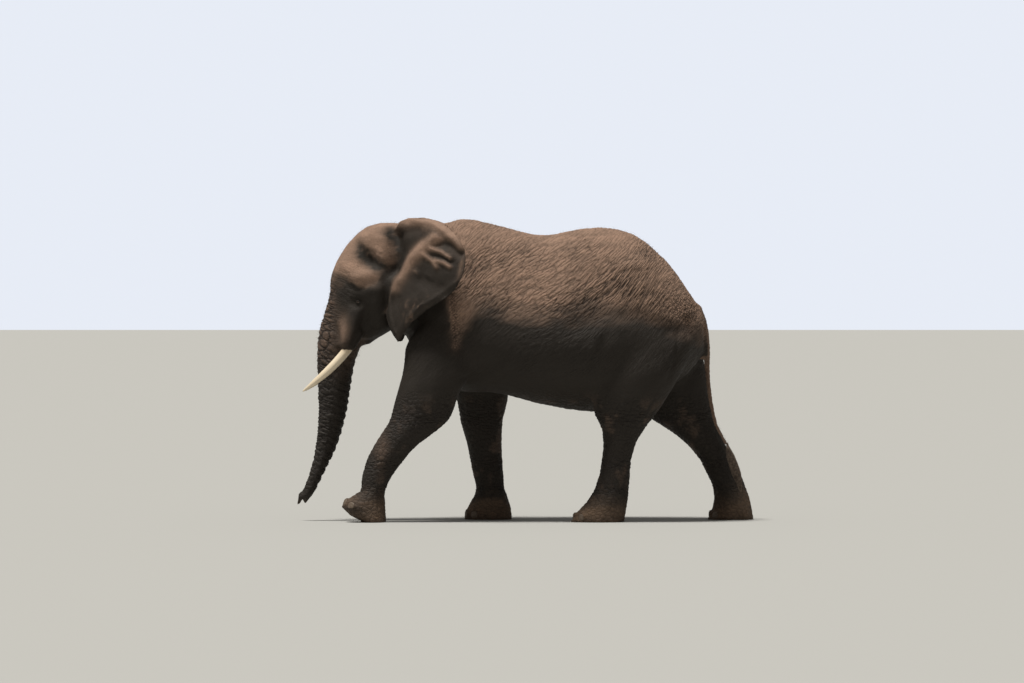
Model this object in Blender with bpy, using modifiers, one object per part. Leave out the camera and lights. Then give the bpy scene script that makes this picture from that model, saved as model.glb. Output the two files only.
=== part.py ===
"""African bush elephant bull, life size, caught in a slow walk.

Metres, +Z up. The animal faces -Y, its left flank is +X, and it stands on z = 0.
Torso, neck, head, trunk, legs and tail are lofted through named sections and fused into
one body, which is shaped at its bony landmarks, thinned to facets, and then parted into
named pieces by thin cuts. Ears, tusks, eyes and nails are set into it.
"""

import math

import bmesh
import bpy
import numpy as np
from mathutils import Euler, Matrix, Vector
from mathutils.bvhtree import BVHTree

# ---- Driving dimensions -------------------------------------------------------------
SHOULDER_HEIGHT = 3.02
SIDES = {"left": 1.0, "right": -1.0}
GAP = 0.0006  # clearance between neighbouring solids
VOXEL = 0.020  # grain at which the lofts are fused
BODY_FACETS = 2900  # triangles of the fused body before it is parted
HEAD_DETAIL = 0.018  # how strongly thinning spares the head
HEAD_START = (-1.25, 0.10, 1.55)  # where the head starts along y, the blend there, lowest z
SECTION_POINTS = 40
RINGS_PER_SPAN = 5
JOINT_EASING = 60  # smoothing passes where limbs meet the body
SOLE_DEPTH = 0.03  # the feet are lofted this far below the floor, then cut flat
OVERSIZE = 4.0  # further than the body reaches from the origin

TUSK_RADIUS = 0.047
EYE_RADIUS = 0.020
EYE_SET_IN = 0.013  # depth of the eye's centre under the skin
NAIL_SIZE = (0.082, 0.030, 0.066)  # width, depth, height
NAIL_SET_IN = 0.006  # depth of the nail's centre under the skin
EAR_THICKNESS = (0.034, 0.018)  # at the root, at the rim
EAR_COLUMNS = 8
EAR_ROW_STEP = 3  # every so many of the eased rows is kept
EAR_BOW = 0.07  # how far an ear row bulges out of its chord
EAR_BOW_WIDTH = 0.6  # a row at least this wide has the full bow
EAR_BOW_AHEAD = 0.3  # share of the bow that also moves the row forward

# Upright sections along the back: (y, top, bottom, half width, egg). An egg over 0
# narrows the top of the section and widens its belly.
TORSO = {
    "chest": (-1.16, 2.50, 1.66, 0.28, 0.05),
    "point of shoulder": (-0.98, 2.84, 1.44, 0.44, 0.12),
    "withers": (-0.66, SHOULDER_HEIGHT, 1.29, 0.55, 0.22),
    "behind shoulder": (-0.28, 2.955, 1.27, 0.63, 0.24),
    "saddle": (0.15, 2.855, 1.160, 0.70, 0.22),
    "belly": (0.55, 2.915, 1.09, 0.71, 0.18),
    "loin": (0.84, 2.925, 1.09, 0.68, 0.12),
    "hips": (1.12, 2.845, 1.16, 0.625, 0.08),
    "croup": (1.40, 2.615, 1.30, 0.575, 0.03),
    "pin bones": (1.62, 2.32, 1.46, 0.47, 0.02),
    "dock": (1.78, 2.06, 1.66, 0.25, 0.0),
}
NECK = {
    "poll": (-1.44, 2.84, 2.06, 0.26, 0.0),
    "nape": (-1.20, 2.92, 1.84, 0.33, 0.05),
    "crest": (-0.95, 2.98, 1.62, 0.41, 0.15),
    "root": (-0.70, 2.98, 1.50, 0.44, 0.20),
}
# Level sections, top to bottom: (z, front, back, middle, half width).
HEAD = {
    "crown": (2.972, -1.46, -1.16, 0.0, 0.12),
    "upper forehead": (2.915, -1.615, -1.06, 0.0, 0.245),
    "forehead": (2.76, -1.778, -1.03, 0.0, 0.330),
    "temples": (2.56, -1.90, -1.05, 0.0, 0.365),
    "brow": (2.36, -1.960, -1.09, 0.0, 0.375),
    "eyes": (2.19, -1.965, -1.15, 0.0, 0.355),
    "cheeks": (2.03, -1.965, -1.22, 0.0, 0.315),
    "mouth": (1.91, -1.94, -1.32, 0.0, 0.260),
    "upper lip": (1.81, -1.90, -1.50, 0.0, 0.200),
}
HEAD_TAPER = 0.24  # how much narrower a head section is in front than behind
JAW = {
    "hinge": (2.10, -1.68, -1.22, 0.0, 0.235),
    "jaw": (1.96, -1.70, -1.29, 0.0, 0.185),
    "chin": (1.85, -1.70, -1.44, 0.0, 0.125),
    "lower lip": (1.755, -1.66, -1.55, 0.0, 0.060),
}
TRUNK = {
    "bridge": (2.50, -1.89, -1.50, 0.0, 0.20),
    "root": (2.20, -1.985, -1.50, 0.0, 0.215),
    "base": (2.00, -2.045, -1.56, 0.0, 0.212),
    "lip": (1.81, -2.085, -1.62, 0.0, 0.205),
    "under tusks": (1.60, -2.095, -1.690, 0.0, 0.192),
    "first bend": (1.36, -2.087, -1.735, 0.0, 0.172),
    "middle": (1.06, -2.079, -1.784, 0.0, 0.146),
    "below middle": (0.76, -2.103, -1.872, 0.0, 0.116),
    "lower": (0.51, -2.155, -1.986, 0.0, 0.091),
    "tip": (0.30, -2.235, -2.093, 0.0, 0.073),
    "end": (0.225, -2.272, -2.150, 0.0, 0.064),
}
FORELEG_LEFT = {  # reaching forward, on its heel
    "shoulder": (2.05, -0.98, -0.52, 0.38, 0.12),
    "upper arm": (1.78, -1.190, -0.44, 0.40, 0.18),
    "arm": (1.50, -1.225, -0.54, 0.41, 0.210),
    "above elbow": (1.25, -1.292, -0.66, 0.41, 0.205),
    "elbow": (1.02, -1.355, -0.745, 0.40, 0.192),
    "forearm": (0.87, -1.443, -0.92, 0.392, 0.178),
    "lower forearm": (0.74, -1.523, -1.090, 0.385, 0.168),
    "wrist": (0.58, -1.600, -1.225, 0.375, 0.160),
    "shin": (0.44, -1.633, -1.325, 0.370, 0.148),
    "pastern": (0.31, -1.650, -1.385, 0.365, 0.156),
    "foot": (0.225, -1.780, -1.390, 0.365, 0.178),
    "toes": (0.155, -1.835, -1.386, 0.365, 0.200),
    "sole": (0.065, -1.745, -1.380, 0.365, 0.207),
    "heel": (0.0, -1.615, -1.380, 0.365, 0.200),
    "pad": (-SOLE_DEPTH, -1.55, -1.39, 0.365, 0.180),
}
FORELEG_RIGHT = {  # upright, carrying weight
    "shoulder": (2.05, -0.90, -0.40, -0.38, 0.12),
    "upper arm": (1.78, -0.95, -0.25, -0.41, 0.18),
    "arm": (1.50, -0.86, -0.16, -0.42, 0.205),
    "elbow": (1.20, -0.705, -0.170, -0.41, 0.200),
    "forearm": (0.98, -0.662, -0.220, -0.40, 0.182),
    "lower forearm": (0.75, -0.592, -0.232, -0.38, 0.165),
    "wrist": (0.55, -0.556, -0.218, -0.37, 0.160),
    "shin": (0.42, -0.525, -0.210, -0.368, 0.148),
    "pastern": (0.29, -0.505, -0.195, -0.365, 0.158),
    "foot": (0.18, -0.552, -0.160, -0.365, 0.186),
    "toes": (0.08, -0.608, -0.135, -0.365, 0.208),
    "sole": (0.0, -0.622, -0.125, -0.365, 0.212),
    "pad": (-SOLE_DEPTH, -0.605, -0.14, -0.365, 0.205),
}
HINDLEG_LEFT = {  # under the body
    "hip": (2.20, 0.90, 1.48, 0.34, 0.16),
    "thigh": (1.88, 0.76, 1.70, 0.35, 0.235),
    "lower thigh": (1.55, 0.68, 1.590, 0.37, 0.255),
    "stifle": (1.28, 0.645, 1.44, 0.375, 0.235),
    "knee": (1.08, 0.670, 1.315, 0.36, 0.205),
    "leg": (0.93, 0.745, 1.195, 0.345, 0.182),
    "lower leg": (0.78, 0.765, 1.105, 0.335, 0.164),
    "hock": (0.60, 0.747, 1.055, 0.325, 0.150),
    "shank": (0.40, 0.706, 1.040, 0.320, 0.146),
    "foot": (0.22, 0.615, 1.022, 0.315, 0.162),
    "toes": (0.10, 0.505, 1.000, 0.315, 0.180),
    "sole": (0.0, 0.438, 0.985, 0.315, 0.187),
    "pad": (-SOLE_DEPTH, 0.45, 0.97, 0.315, 0.180),
}
HINDLEG_RIGHT = {  # trailing
    "hip": (2.20, 1.00, 1.56, -0.34, 0.16),
    "thigh": (1.88, 0.95, 1.72, -0.35, 0.225),
    "lower thigh": (1.55, 0.97, 1.820, -0.37, 0.240),
    "stifle": (1.25, 1.06, 1.865, -0.375, 0.225),
    "knee": (1.03, 1.23, 1.912, -0.36, 0.202),
    "leg": (0.88, 1.460, 1.962, -0.345, 0.180),
    "lower leg": (0.77, 1.600, 2.010, -0.335, 0.165),
    "hock": (0.63, 1.725, 2.085, -0.325, 0.153),
    "shank": (0.47, 1.812, 2.165, -0.320, 0.147),
    "pastern": (0.33, 1.875, 2.225, -0.315, 0.149),
    "foot": (0.20, 1.893, 2.265, -0.315, 0.162),
    "toes": (0.09, 1.868, 2.290, -0.315, 0.178),
    "sole": (0.0, 1.825, 2.300, -0.315, 0.185),
    "pad": (-SOLE_DEPTH, 1.835, 2.285, -0.315, 0.178),
}
TAIL = {
    "dock": (2.16, 1.60, 1.765, 0.0, 0.085),
    "root": (1.98, 1.690, 1.826, 0.0, 0.068),
    "upper": (1.80, 1.745, 1.852, 0.0, 0.054),
    "curve": (1.62, 1.778, 1.864, 0.0, 0.045),
    "straight": (1.44, 1.808, 1.878, 0.0, 0.038),
    "middle": (1.20, 1.838, 1.900, 0.0, 0.033),
    "lower": (0.96, 1.898, 1.952, 0.0, 0.029),
    "tuft root": (0.76, 1.985, 2.040, 0.0, 0.028),
    "tuft": (0.58, 2.035, 2.112, 0.0, 0.040),
    "tuft middle": (0.42, 2.080, 2.165, 0.0, 0.042),
    "tuft end": (0.27, 2.140, 2.180, 0.0, 0.016),
}
TRUNK_FINGERS = {  # the two lips of the trunk's tip: root, end, radius at each
    "front": ((0.0, -2.240, 0.26), (0.0, -2.284, 0.152), 0.040, 0.020),
    "back": ((0.0, -2.170, 0.26), (0.0, -2.205, 0.158), 0.038, 0.017),
}
TUSK_SHEATH = ((0.215, -1.68, 2.08), (0.243, -1.785, 1.790), 0.115, 0.088)
TUSK = [  # (x, y, z, share of TUSK_RADIUS) along the left tusk
    (0.222, -1.660, 1.880, 0.95),
    (0.245, -1.745, 1.745, 1.00),
    (0.272, -1.850, 1.612, 0.97),
    (0.294, -1.965, 1.500, 0.88),
    (0.302, -2.080, 1.398, 0.68),
    (0.296, -2.165, 1.333, 0.42),
    (0.290, -2.216, 1.296, 0.10),
]

# Bony landmarks and hollows on the left side: centre, reach along x, y, z, and height.
LANDMARKS = {
    "temple": ((0.36, -1.60, 2.60), (0.16, 0.10, 0.11), -0.060),
    "brow": ((0.36, -1.72, 2.41), (0.14, 0.13, 0.055), 0.024),
    "cheekbone": ((0.36, -1.50, 2.30), (0.14, 0.14, 0.07), 0.022),
    "eye socket": ((0.34, -1.665, 2.185), (0.12, 0.07, 0.05), -0.020),
    "crown side": ((0.22, -1.55, 2.82), (0.12, 0.13, 0.09), 0.022),
    "cheek hollow": ((0.30, -1.56, 2.03), (0.12, 0.07, 0.10), -0.024),
    "shoulder blade": ((0.50, -0.52, 2.35), (0.25, 0.13, 0.40), 0.028),
    "behind shoulder": ((0.60, -0.20, 1.95), (0.25, 0.15, 0.42), -0.028),
    "hip bone": ((0.40, 1.15, 2.56), (0.20, 0.15, 0.13), 0.045),
    "flank hollow": ((0.64, 0.70, 2.25), (0.25, 0.22, 0.26), -0.045),
    "rump hollow": ((0.42, 1.45, 2.16), (0.20, 0.12, 0.20), -0.020),
    "spine": ((0.0, 0.45, 2.95), (0.07, 0.90, 0.12), 0.010),
}
# Where limbs meet the body: centre of the easing, its reach and its strength.
JUNCTIONS = [
    ((0.0, -1.18, 2.45), 0.40, 1.0),
    ((0.0, -0.95, 1.70), 0.42, 1.0),
    ((0.45, -0.85, 1.72), 0.48, 1.0),
    ((-0.45, -0.55, 1.72), 0.48, 1.0),
    ((0.45, 1.15, 1.75), 0.65, 1.0),
    ((-0.45, 1.35, 1.75), 0.65, 1.0),
    ((0.35, 1.62, 1.85), 0.30, 1.0),
    ((-0.35, 1.70, 1.85), 0.30, 1.0),
    ((0.0, 1.70, 2.05), 0.15, 1.0),
    ((0.0, -1.78, 2.15), 0.28, 0.8),
    ((0.0, -1.45, 1.95), 0.20, 0.8),
    ((0.24, -1.72, 1.95), 0.20, 0.25),
    ((-0.24, -1.72, 1.95), 0.20, 0.25),
]
# Rows of the left ear, top to bottom: (z, front, rear, x at the front, x at the rear).
EAR = {
    "top": (3.015, -1.155, -0.985, 0.37, 0.49),
    "upper rim": (2.970, -1.255, -0.815, 0.30, 0.63),
    "upper": (2.875, -1.330, -0.700, 0.25, 0.74),
    "widest": (2.720, -1.365, -0.605, 0.25, 0.82),
    "hub": (2.560, -1.385, -0.590, 0.26, 0.85),
    "middle": (2.400, -1.395, -0.630, 0.27, 0.85),
    "lower": (2.250, -1.400, -0.715, 0.28, 0.82),
    "nick": (2.140, -1.400, -0.835, 0.30, 0.76),
    "lobe": (2.010, -1.375, -0.985, 0.36, 0.68),
    "lower lobe": (1.890, -1.330, -1.105, 0.42, 0.60),
    "tip": (1.812, -1.285, -1.165, 0.47, 0.55),
    "end": (1.785, -1.235, -1.205, 0.50, 0.52),
}

# Parting boxes in cutting order: a point on the parting face, the face's lean about X in
# degrees, which side is kept ("down" below the face, "front" before it), and how far the
# box reaches along x (low, high), y (low, high) and z (low, high) from that point.
PARTINGS = {
    "trunk_tip": ((0, -2.15, 0.42), -20, (-0.15, 0.15), (-0.4, 0.3), (-0.6, 0.0)),
    "trunk_lower": ((0, -2.02, 0.84), -10, (-0.25, 0.25), (-0.5, 0.3), (-0.7, 0.0)),
    "trunk_middle": ((0, -1.94, 1.27), -4, (-0.35, 0.35), (-0.6, 0.4), (-0.7, 0.0)),
    "trunk_upper": ((0, -1.88, 1.70), 0, (-0.45, 0.45), (-0.6, 0.35), (-0.7, 0.0)),
    "lower_jaw": ((0, -1.47, 1.925), 20, (-0.29, 0.29), (-0.17, 0.20), (-0.24, 0.0)),
    "head": ((0, -1.15, 2.35), -8, (-0.9, 0.9), (-1.3, 0.0), (-0.9, 0.9)),
    "neck": ((0, -0.92, 2.40), -12, (-0.9, 0.9), (-0.5, 0.0), (-0.38, 0.9)),
    "foreleg_left_foot": ((0.37, -1.53, 0.335), 0, (-0.4, 0.5), (-0.5, 0.4), (-0.6, 0.0)),
    "foreleg_left_lower": ((0.37, -1.18, 0.86), -25, (-0.4, 0.5), (-0.8, 0.7), (-0.9, 0.0)),
    "foreleg_left_upper": ((0.40, -0.95, 1.33), -4, (-0.28, 0.6), (-0.6, 0.37), (-0.9, 0.0)),
    "foreleg_right_foot": ((-0.37, -0.37, 0.30), 0, (-0.5, 0.3), (-0.5, 0.5), (-0.6, 0.0)),
    "foreleg_right_lower": ((-0.38, -0.42, 0.86), 4, (-0.5, 0.3), (-0.5, 0.5), (-0.9, 0.0)),
    "foreleg_right_upper": ((-0.40, -0.45, 1.28), 0, (-0.6, 0.28), (-0.52, 0.42), (-0.9, 0.0)),
    "hindleg_left_foot": ((0.32, 0.85, 0.27), 0, (-0.28, 0.5), (-0.6, 0.4), (-0.6, 0.0)),
    "hindleg_left_lower": ((0.33, 0.93, 0.80), 0, (-0.28, 0.5), (-0.6, 0.5), (-0.9, 0.0)),
    "hindleg_left_upper": ((0.36, 1.10, 1.345), 23, (-0.26, 0.6), (-0.60, 0.9), (-0.9, 0.0)),
    "hindleg_right_foot": ((-0.32, 2.05, 0.29), 0, (-0.5, 0.28), (-0.5, 0.5), (-0.6, 0.0)),
    "hindleg_right_lower": ((-0.33, 1.78, 0.84), 20, (-0.5, 0.28), (-0.7, 0.7), (-0.9, 0.0)),
    "hindleg_right_upper": ((-0.36, 1.35, 1.40), 23, (-0.6, 0.26), (-0.6, 0.9), (-0.9, 0.0)),
    "tail_tuft": ((0, 2.01, 0.76), 0, (-0.12, 0.12), (-0.3, 0.4), (-0.8, 0.0)),
    "tail": ((0, 1.85, 1.66), 0, (-0.10, 0.10), (-0.08, 0.5), (-1.2, 0.0)),
}

# Each foot: centre of the fan of nails, its pitch, and the nails' bearings in degrees
# from straight ahead, inner nails first.
FEET = {
    "foreleg_left_foot": ((0.365, -1.60, 0.115), 24, (-50, -17, 16, 48)),
    "foreleg_right_foot": ((-0.365, -0.38, 0.055), 0, (50, 17, -16, -48)),
    "hindleg_left_foot": ((0.315, 0.70, 0.050), 0, (-36, 2, 40)),
    "hindleg_right_foot": ((-0.315, 2.06, 0.050), 0, (36, -2, -40)),
}

FINISHES = {  # linear colour and roughness
    "skin": ((0.105, 0.080, 0.064), 0.85),
    "dark_skin": ((0.060, 0.050, 0.042), 0.85),
    "ivory": ((0.72, 0.60, 0.43), 0.35),
    "nail": ((0.23, 0.18, 0.13), 0.60),
    "eye": ((0.035, 0.018, 0.010), 0.12),
    "tail_hair": ((0.020, 0.018, 0.016), 0.70),
}


def finish_of(name):
    """The finish a node wears, by its name."""
    for word, finish in (
        ("tusk", "ivory"),
        ("nail", "nail"),
        ("eye", "eye"),
        ("tuft", "tail_hair"),
        ("trunk", "dark_skin"),
        ("ear", "dark_skin"),
        ("leg", "dark_skin"),
    ):
        if word in name:
            return finish
    return "skin"


def make_materials():
    for name, (colour, roughness) in FINISHES.items():
        made = bpy.data.materials.new(name)
        made.use_nodes = True
        shader = made.node_tree.nodes["Principled BSDF"]
        shader.inputs["Base Color"].default_value = (*colour, 1.0)
        shader.inputs["Roughness"].default_value = roughness


# ---- Mesh helpers -------------------------------------------------------------------


def add_object(name, mesh, collection):
    obj = bpy.data.objects.new(name, mesh)
    bpy.data.collections[collection].objects.link(obj)
    return obj


def add_helper(name, mesh):
    """A cutter or guide: drawn as wire and left out of the model."""
    obj = add_object(name, mesh, "helpers")
    obj.hide_render = True
    obj.display_type = "WIRE"
    return obj


def baked(obj):
    """Applies the object's modifiers to its mesh."""
    graph = bpy.context.evaluated_depsgraph_get()
    graph.update()
    mesh = bpy.data.meshes.new_from_object(obj.evaluated_get(graph))
    obj.modifiers.clear()
    obj.data = mesh
    return obj


def tidy(mesh):
    """Merges doubles, drops slivers and all but the largest loose part, and triangulates."""
    shape = bmesh.new()
    shape.from_mesh(mesh)
    bmesh.ops.remove_doubles(shape, verts=shape.verts, dist=2e-5)
    bmesh.ops.dissolve_degenerate(shape, edges=shape.edges, dist=2e-5)
    bmesh.ops.triangulate(shape, faces=shape.faces)
    parts = loose_parts(shape)
    for part in parts[1:]:
        bmesh.ops.delete(shape, geom=part, context="VERTS")
    shape.to_mesh(mesh)
    shape.free()


def loose_parts(shape):
    """The vertices of each connected part, the part with most vertices first."""
    unseen = set(shape.verts)
    parts = []
    while unseen:
        part = [unseen.pop()]
        for vert in part:
            for edge in vert.link_edges:
                other = edge.other_vert(vert)
                if other in unseen:
                    unseen.remove(other)
                    part.append(other)
        parts.append(part)
    return sorted(parts, key=len, reverse=True)


def combine(obj, operation, other):
    """Applies an exact Boolean with a hidden helper."""
    modifier = obj.modifiers.new(operation.lower(), "BOOLEAN")
    modifier.operation = operation
    modifier.object = other
    baked(obj)


def points_of(mesh):
    points = np.empty(len(mesh.vertices) * 3)
    mesh.vertices.foreach_get("co", points)
    return points.reshape(-1, 3)


def normals_of(mesh):
    normals = np.empty(len(mesh.vertices) * 3)
    mesh.vertices.foreach_get("normal", normals)
    return normals.reshape(-1, 3)


def grown(obj, distance):
    """A hidden copy of the object, swollen along its normals."""
    mesh = obj.data.copy()
    points = points_of(mesh) + distance * normals_of(mesh)
    mesh.vertices.foreach_set("co", points.ravel())
    mesh.update()
    return add_helper(obj.name + " clearance", mesh)


# ---- Lofts --------------------------------------------------------------------------


def eased(rows):
    """Named sections spread into finely spaced ones on Catmull-Rom curves."""
    rows = np.array(list(rows), float)
    padded = np.vstack([2 * rows[0] - rows[1], rows, 2 * rows[-1] - rows[-2]])
    found = []
    for before, start, end, after in zip(padded, padded[1:], padded[2:], padded[3:]):
        for step in range(RINGS_PER_SPAN):
            t = step / RINGS_PER_SPAN
            found.append(
                0.5
                * (
                    2 * start
                    + (end - before) * t
                    + (2 * before - 5 * start + 4 * end - after) * t**2
                    + (3 * start - before - 3 * end + after) * t**3
                )
            )
    found.append(rows[-1])
    return np.array(found)


def round_the_clock():
    return np.linspace(0.0, math.tau, SECTION_POINTS, endpoint=False)


def upright_ring(y, top, bottom, half, egg):
    """An egg-shaped section across the body at one y."""
    angle = round_the_clock()
    middle, depth = (top + bottom) / 2, (top - bottom) / 2
    return np.stack(
        [
            half * np.sin(angle) * (1 - egg * np.cos(angle)),
            np.full(SECTION_POINTS, y),
            middle + depth * np.cos(angle),
        ],
        axis=1,
    )


def level_ring(z, front, back, middle, half, taper=0.0):
    """An oval section across a limb at one height, narrower in front by the taper."""
    angle = round_the_clock()
    centre, depth = (front + back) / 2, (back - front) / 2
    return np.stack(
        [
            middle + half * np.sin(angle) * (1 - taper * np.cos(angle)),
            centre - depth * np.cos(angle),
            np.full(SECTION_POINTS, z),
        ],
        axis=1,
    )


def loft(rings):
    """A closed bmesh through rings of equal length, with a fan over each end."""
    shape = bmesh.new()
    rows = [[shape.verts.new(point) for point in ring] for ring in rings]
    count = len(rows[0])
    for upper, lower in zip(rows, rows[1:]):
        for i in range(count):
            j = (i + 1) % count
            shape.faces.new((upper[i], upper[j], lower[j], lower[i]))
    for row in (rows[0], rows[-1]):
        hub = shape.verts.new(sum((v.co for v in row), Vector()) / count)
        for i in range(count):
            shape.faces.new((row[i], row[(i + 1) % count], hub))
    bmesh.ops.recalc_face_normals(shape, faces=shape.faces)
    return shape


def loft_limb(sections, taper=0.0):
    return loft([level_ring(*row, taper) for row in eased(sections.values())])


def loft_back(sections):
    return loft([upright_ring(*row) for row in eased(sections.values())])


def rod(start, end, start_radius, end_radius):
    """A round-ended tapering rod between two points."""
    start, end = Vector(start), Vector(end)
    shape = bmesh.new()
    length = (end - start).length
    turn = (end - start).to_track_quat("Z", "Y").to_matrix().to_4x4()
    place = Matrix.Translation((start + end) / 2) @ turn
    bmesh.ops.create_cone(
        shape,
        cap_ends=True,
        segments=24,
        radius1=start_radius,
        radius2=end_radius,
        depth=length,
        matrix=place,
    )
    for point, radius in ((start, start_radius), (end, end_radius)):
        bmesh.ops.create_uvsphere(
            shape,
            u_segments=24,
            v_segments=12,
            radius=radius,
            matrix=Matrix.Translation(point),
        )
    return shape


def mirrored(point):
    return (-point[0], point[1], point[2])


# ---- The fused body -----------------------------------------------------------------


def body_lofts():
    yield loft_back(TORSO)
    yield loft_back(NECK)
    yield loft_limb(HEAD, HEAD_TAPER)
    for sections in (JAW, TRUNK, FORELEG_LEFT, FORELEG_RIGHT, HINDLEG_LEFT, HINDLEG_RIGHT, TAIL):
        yield loft_limb(sections)
    for root, end, root_radius, end_radius in TRUNK_FINGERS.values():
        yield rod(root, end, root_radius, end_radius)
    root, end, root_radius, end_radius = TUSK_SHEATH
    yield rod(root, end, root_radius, end_radius)
    yield rod(mirrored(root), mirrored(end), root_radius, end_radius)


def nearness(points, centre, reach):
    """1 at the centre, falling off as a bell over the reach along each axis."""
    away = (points - np.array(centre)) / np.array(reach)
    return np.exp(-(away**2).sum(axis=1))


def ease_junctions(body):
    points = points_of(body.data)
    weight = np.zeros(len(points))
    for centre, reach, strength in JUNCTIONS:
        weight = np.maximum(weight, strength * nearness(points, centre, reach))
    group = body.vertex_groups.new(name="junctions")
    for index in np.flatnonzero(weight > 0.02):
        group.add([int(index)], float(weight[index]), "REPLACE")
    smooth = body.modifiers.new("junctions", "SMOOTH")
    smooth.factor = 0.5
    smooth.iterations = JOINT_EASING
    smooth.vertex_group = group.name
    settle = body.modifiers.new("settle", "SMOOTH")
    settle.factor = 0.5
    settle.iterations = 3
    baked(body)


def shape_landmarks(body):
    """Raises bones and sinks hollows along the surface's normals, on both sides."""
    points, normals = points_of(body.data), normals_of(body.data)
    height = np.zeros(len(points))
    for centre, reach, rise in LANDMARKS.values():
        height += rise * nearness(points, centre, reach)
        if centre[0] > 0:
            height += rise * nearness(points, mirrored(centre), reach)
    points += height[:, None] * normals
    body.data.vertices.foreach_set("co", points.ravel())
    body.data.update()


def thin_facets(body):
    """Decimates to BODY_FACETS, sparing the head."""
    points = points_of(body.data)
    start, blend, lowest = HEAD_START
    on_head = 1 / (1 + np.exp((points[:, 1] - start) / blend)) * (points[:, 2] > lowest)
    group = body.vertex_groups.new(name="coarse")
    levels = 10
    for level in range(levels + 1):
        chosen = np.flatnonzero(np.round(on_head * levels) == level)
        if len(chosen):
            group.add(chosen.tolist(), 1 - 0.9 * level / levels, "REPLACE")
    body.data.calc_loop_triangles()
    thin = body.modifiers.new("facets", "DECIMATE")
    thin.ratio = BODY_FACETS / len(body.data.loop_triangles)
    thin.vertex_group = group.name
    thin.vertex_group_factor = HEAD_DETAIL
    baked(body)
    body.vertex_groups.clear()


def make_body():
    joined = bmesh.new()
    for shape in body_lofts():
        mesh = bpy.data.meshes.new("loft")
        shape.to_mesh(mesh)
        shape.free()
        joined.from_mesh(mesh)
        bpy.data.meshes.remove(mesh)
    mesh = bpy.data.meshes.new("body")
    joined.to_mesh(mesh)
    joined.free()
    body = add_helper("body", mesh)
    fuse = body.modifiers.new("fuse", "REMESH")
    fuse.mode = "VOXEL"
    fuse.voxel_size = VOXEL
    baked(body)
    ease_junctions(body)
    shape_landmarks(body)
    return body


def stand_flat(body):
    """Cuts the feet flat at the floor."""
    floor = box_helper("floor", (0, 0, -OVERSIZE / 2), (2 * OVERSIZE, 2 * OVERSIZE, OVERSIZE))
    combine(body, "DIFFERENCE", floor)
    tidy(body.data)


# ---- Set-in pieces ------------------------------------------------------------------


def box_helper(name, centre, size):
    shape = bmesh.new()
    bmesh.ops.create_cube(shape, size=1.0)
    bmesh.ops.scale(shape, vec=size, verts=shape.verts)
    bmesh.ops.translate(shape, vec=centre, verts=shape.verts)
    mesh = bpy.data.meshes.new(name)
    shape.to_mesh(mesh)
    shape.free()
    return add_helper(name, mesh)


def tusk_mesh(side):
    """The tusk as a bevelled curve turned into a closed mesh."""
    curve = bpy.data.curves.new("tusk", "CURVE")
    curve.dimensions = "3D"
    curve.bevel_depth = 1.0
    curve.bevel_resolution = 2
    curve.resolution_u = 2
    curve.use_fill_caps = True
    spline = curve.splines.new("NURBS")
    spline.points.add(len(TUSK) - 1)
    spline.use_endpoint_u = True
    spline.order_u = 3
    for point, (x, y, z, share) in zip(spline.points, TUSK):
        point.co = (side * x, y, z, 1.0)
        point.radius = share * TUSK_RADIUS
    guide = add_helper("tusk guide", curve)
    graph = bpy.context.evaluated_depsgraph_get()
    mesh = bpy.data.meshes.new_from_object(guide.evaluated_get(graph))
    bpy.data.objects.remove(guide)
    shape = bmesh.new()
    shape.from_mesh(mesh)
    bmesh.ops.remove_doubles(shape, verts=shape.verts, dist=1e-5)
    bmesh.ops.recalc_face_normals(shape, faces=shape.faces)
    shape.to_mesh(mesh)
    shape.free()
    return mesh


def ball_mesh(radius, place, squash=(1, 1, 1), segments=(10, 6)):
    """A ball, squashed along its own axes and then placed."""
    shape = bmesh.new()
    bmesh.ops.create_uvsphere(
        shape, u_segments=segments[0], v_segments=segments[1], radius=radius
    )
    bmesh.ops.scale(shape, vec=squash, verts=shape.verts)
    bmesh.ops.transform(shape, matrix=place, verts=shape.verts)
    mesh = bpy.data.meshes.new("ball")
    shape.to_mesh(mesh)
    shape.free()
    return mesh


def set_into(name, mesh, *hosts):
    """Adds a solid and sinks its seat, a little larger, into each host."""
    solid = add_object(name, mesh, "elephant")
    seat = grown(solid, GAP)
    for host in hosts:
        combine(host, "DIFFERENCE", seat)
        tidy(host.data)


def surface_of(obj):
    shape = bmesh.new()
    shape.from_mesh(obj.data)
    tree = BVHTree.FromBMesh(shape)
    shape.free()
    return tree


def add_eyes(head):
    skin = surface_of(head)
    _, along, height = LANDMARKS["eye socket"][0]
    for side, sign in SIDES.items():
        outside = Vector((sign * OVERSIZE, along, height))
        hit, normal, _, _ = skin.ray_cast(outside, Vector((-sign, 0, 0)))
        place = Matrix.Translation(hit - normal * EYE_SET_IN)
        set_into("eye_" + side, ball_mesh(EYE_RADIUS, place), head)


def add_tusks(*hosts):
    for side, sign in SIDES.items():
        set_into("tusk_" + side, tusk_mesh(sign), *hosts)


def add_nails(foot):
    """Fans flattened balls round the front of a foot, about half sunk in it."""
    hub, pitch, bearings = FEET[foot.name]
    skin = surface_of(foot)
    lean = Matrix.Rotation(-math.radians(pitch), 3, "X")
    for number, bearing in enumerate(bearings, 1):
        ahead = lean @ (Matrix.Rotation(math.radians(bearing), 3, "Z") @ Vector((0, -1, 0)))
        hit, _, _, _ = skin.ray_cast(Vector(hub) + ahead, -ahead)
        turn = ahead.to_track_quat("-Y", "Z").to_matrix().to_4x4()
        place = Matrix.Translation(hit - ahead * NAIL_SET_IN) @ turn
        nail = ball_mesh(0.5, place, NAIL_SIZE, (8, 4))
        set_into(f"{foot.name}_nail_{number}", nail, foot)


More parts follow.
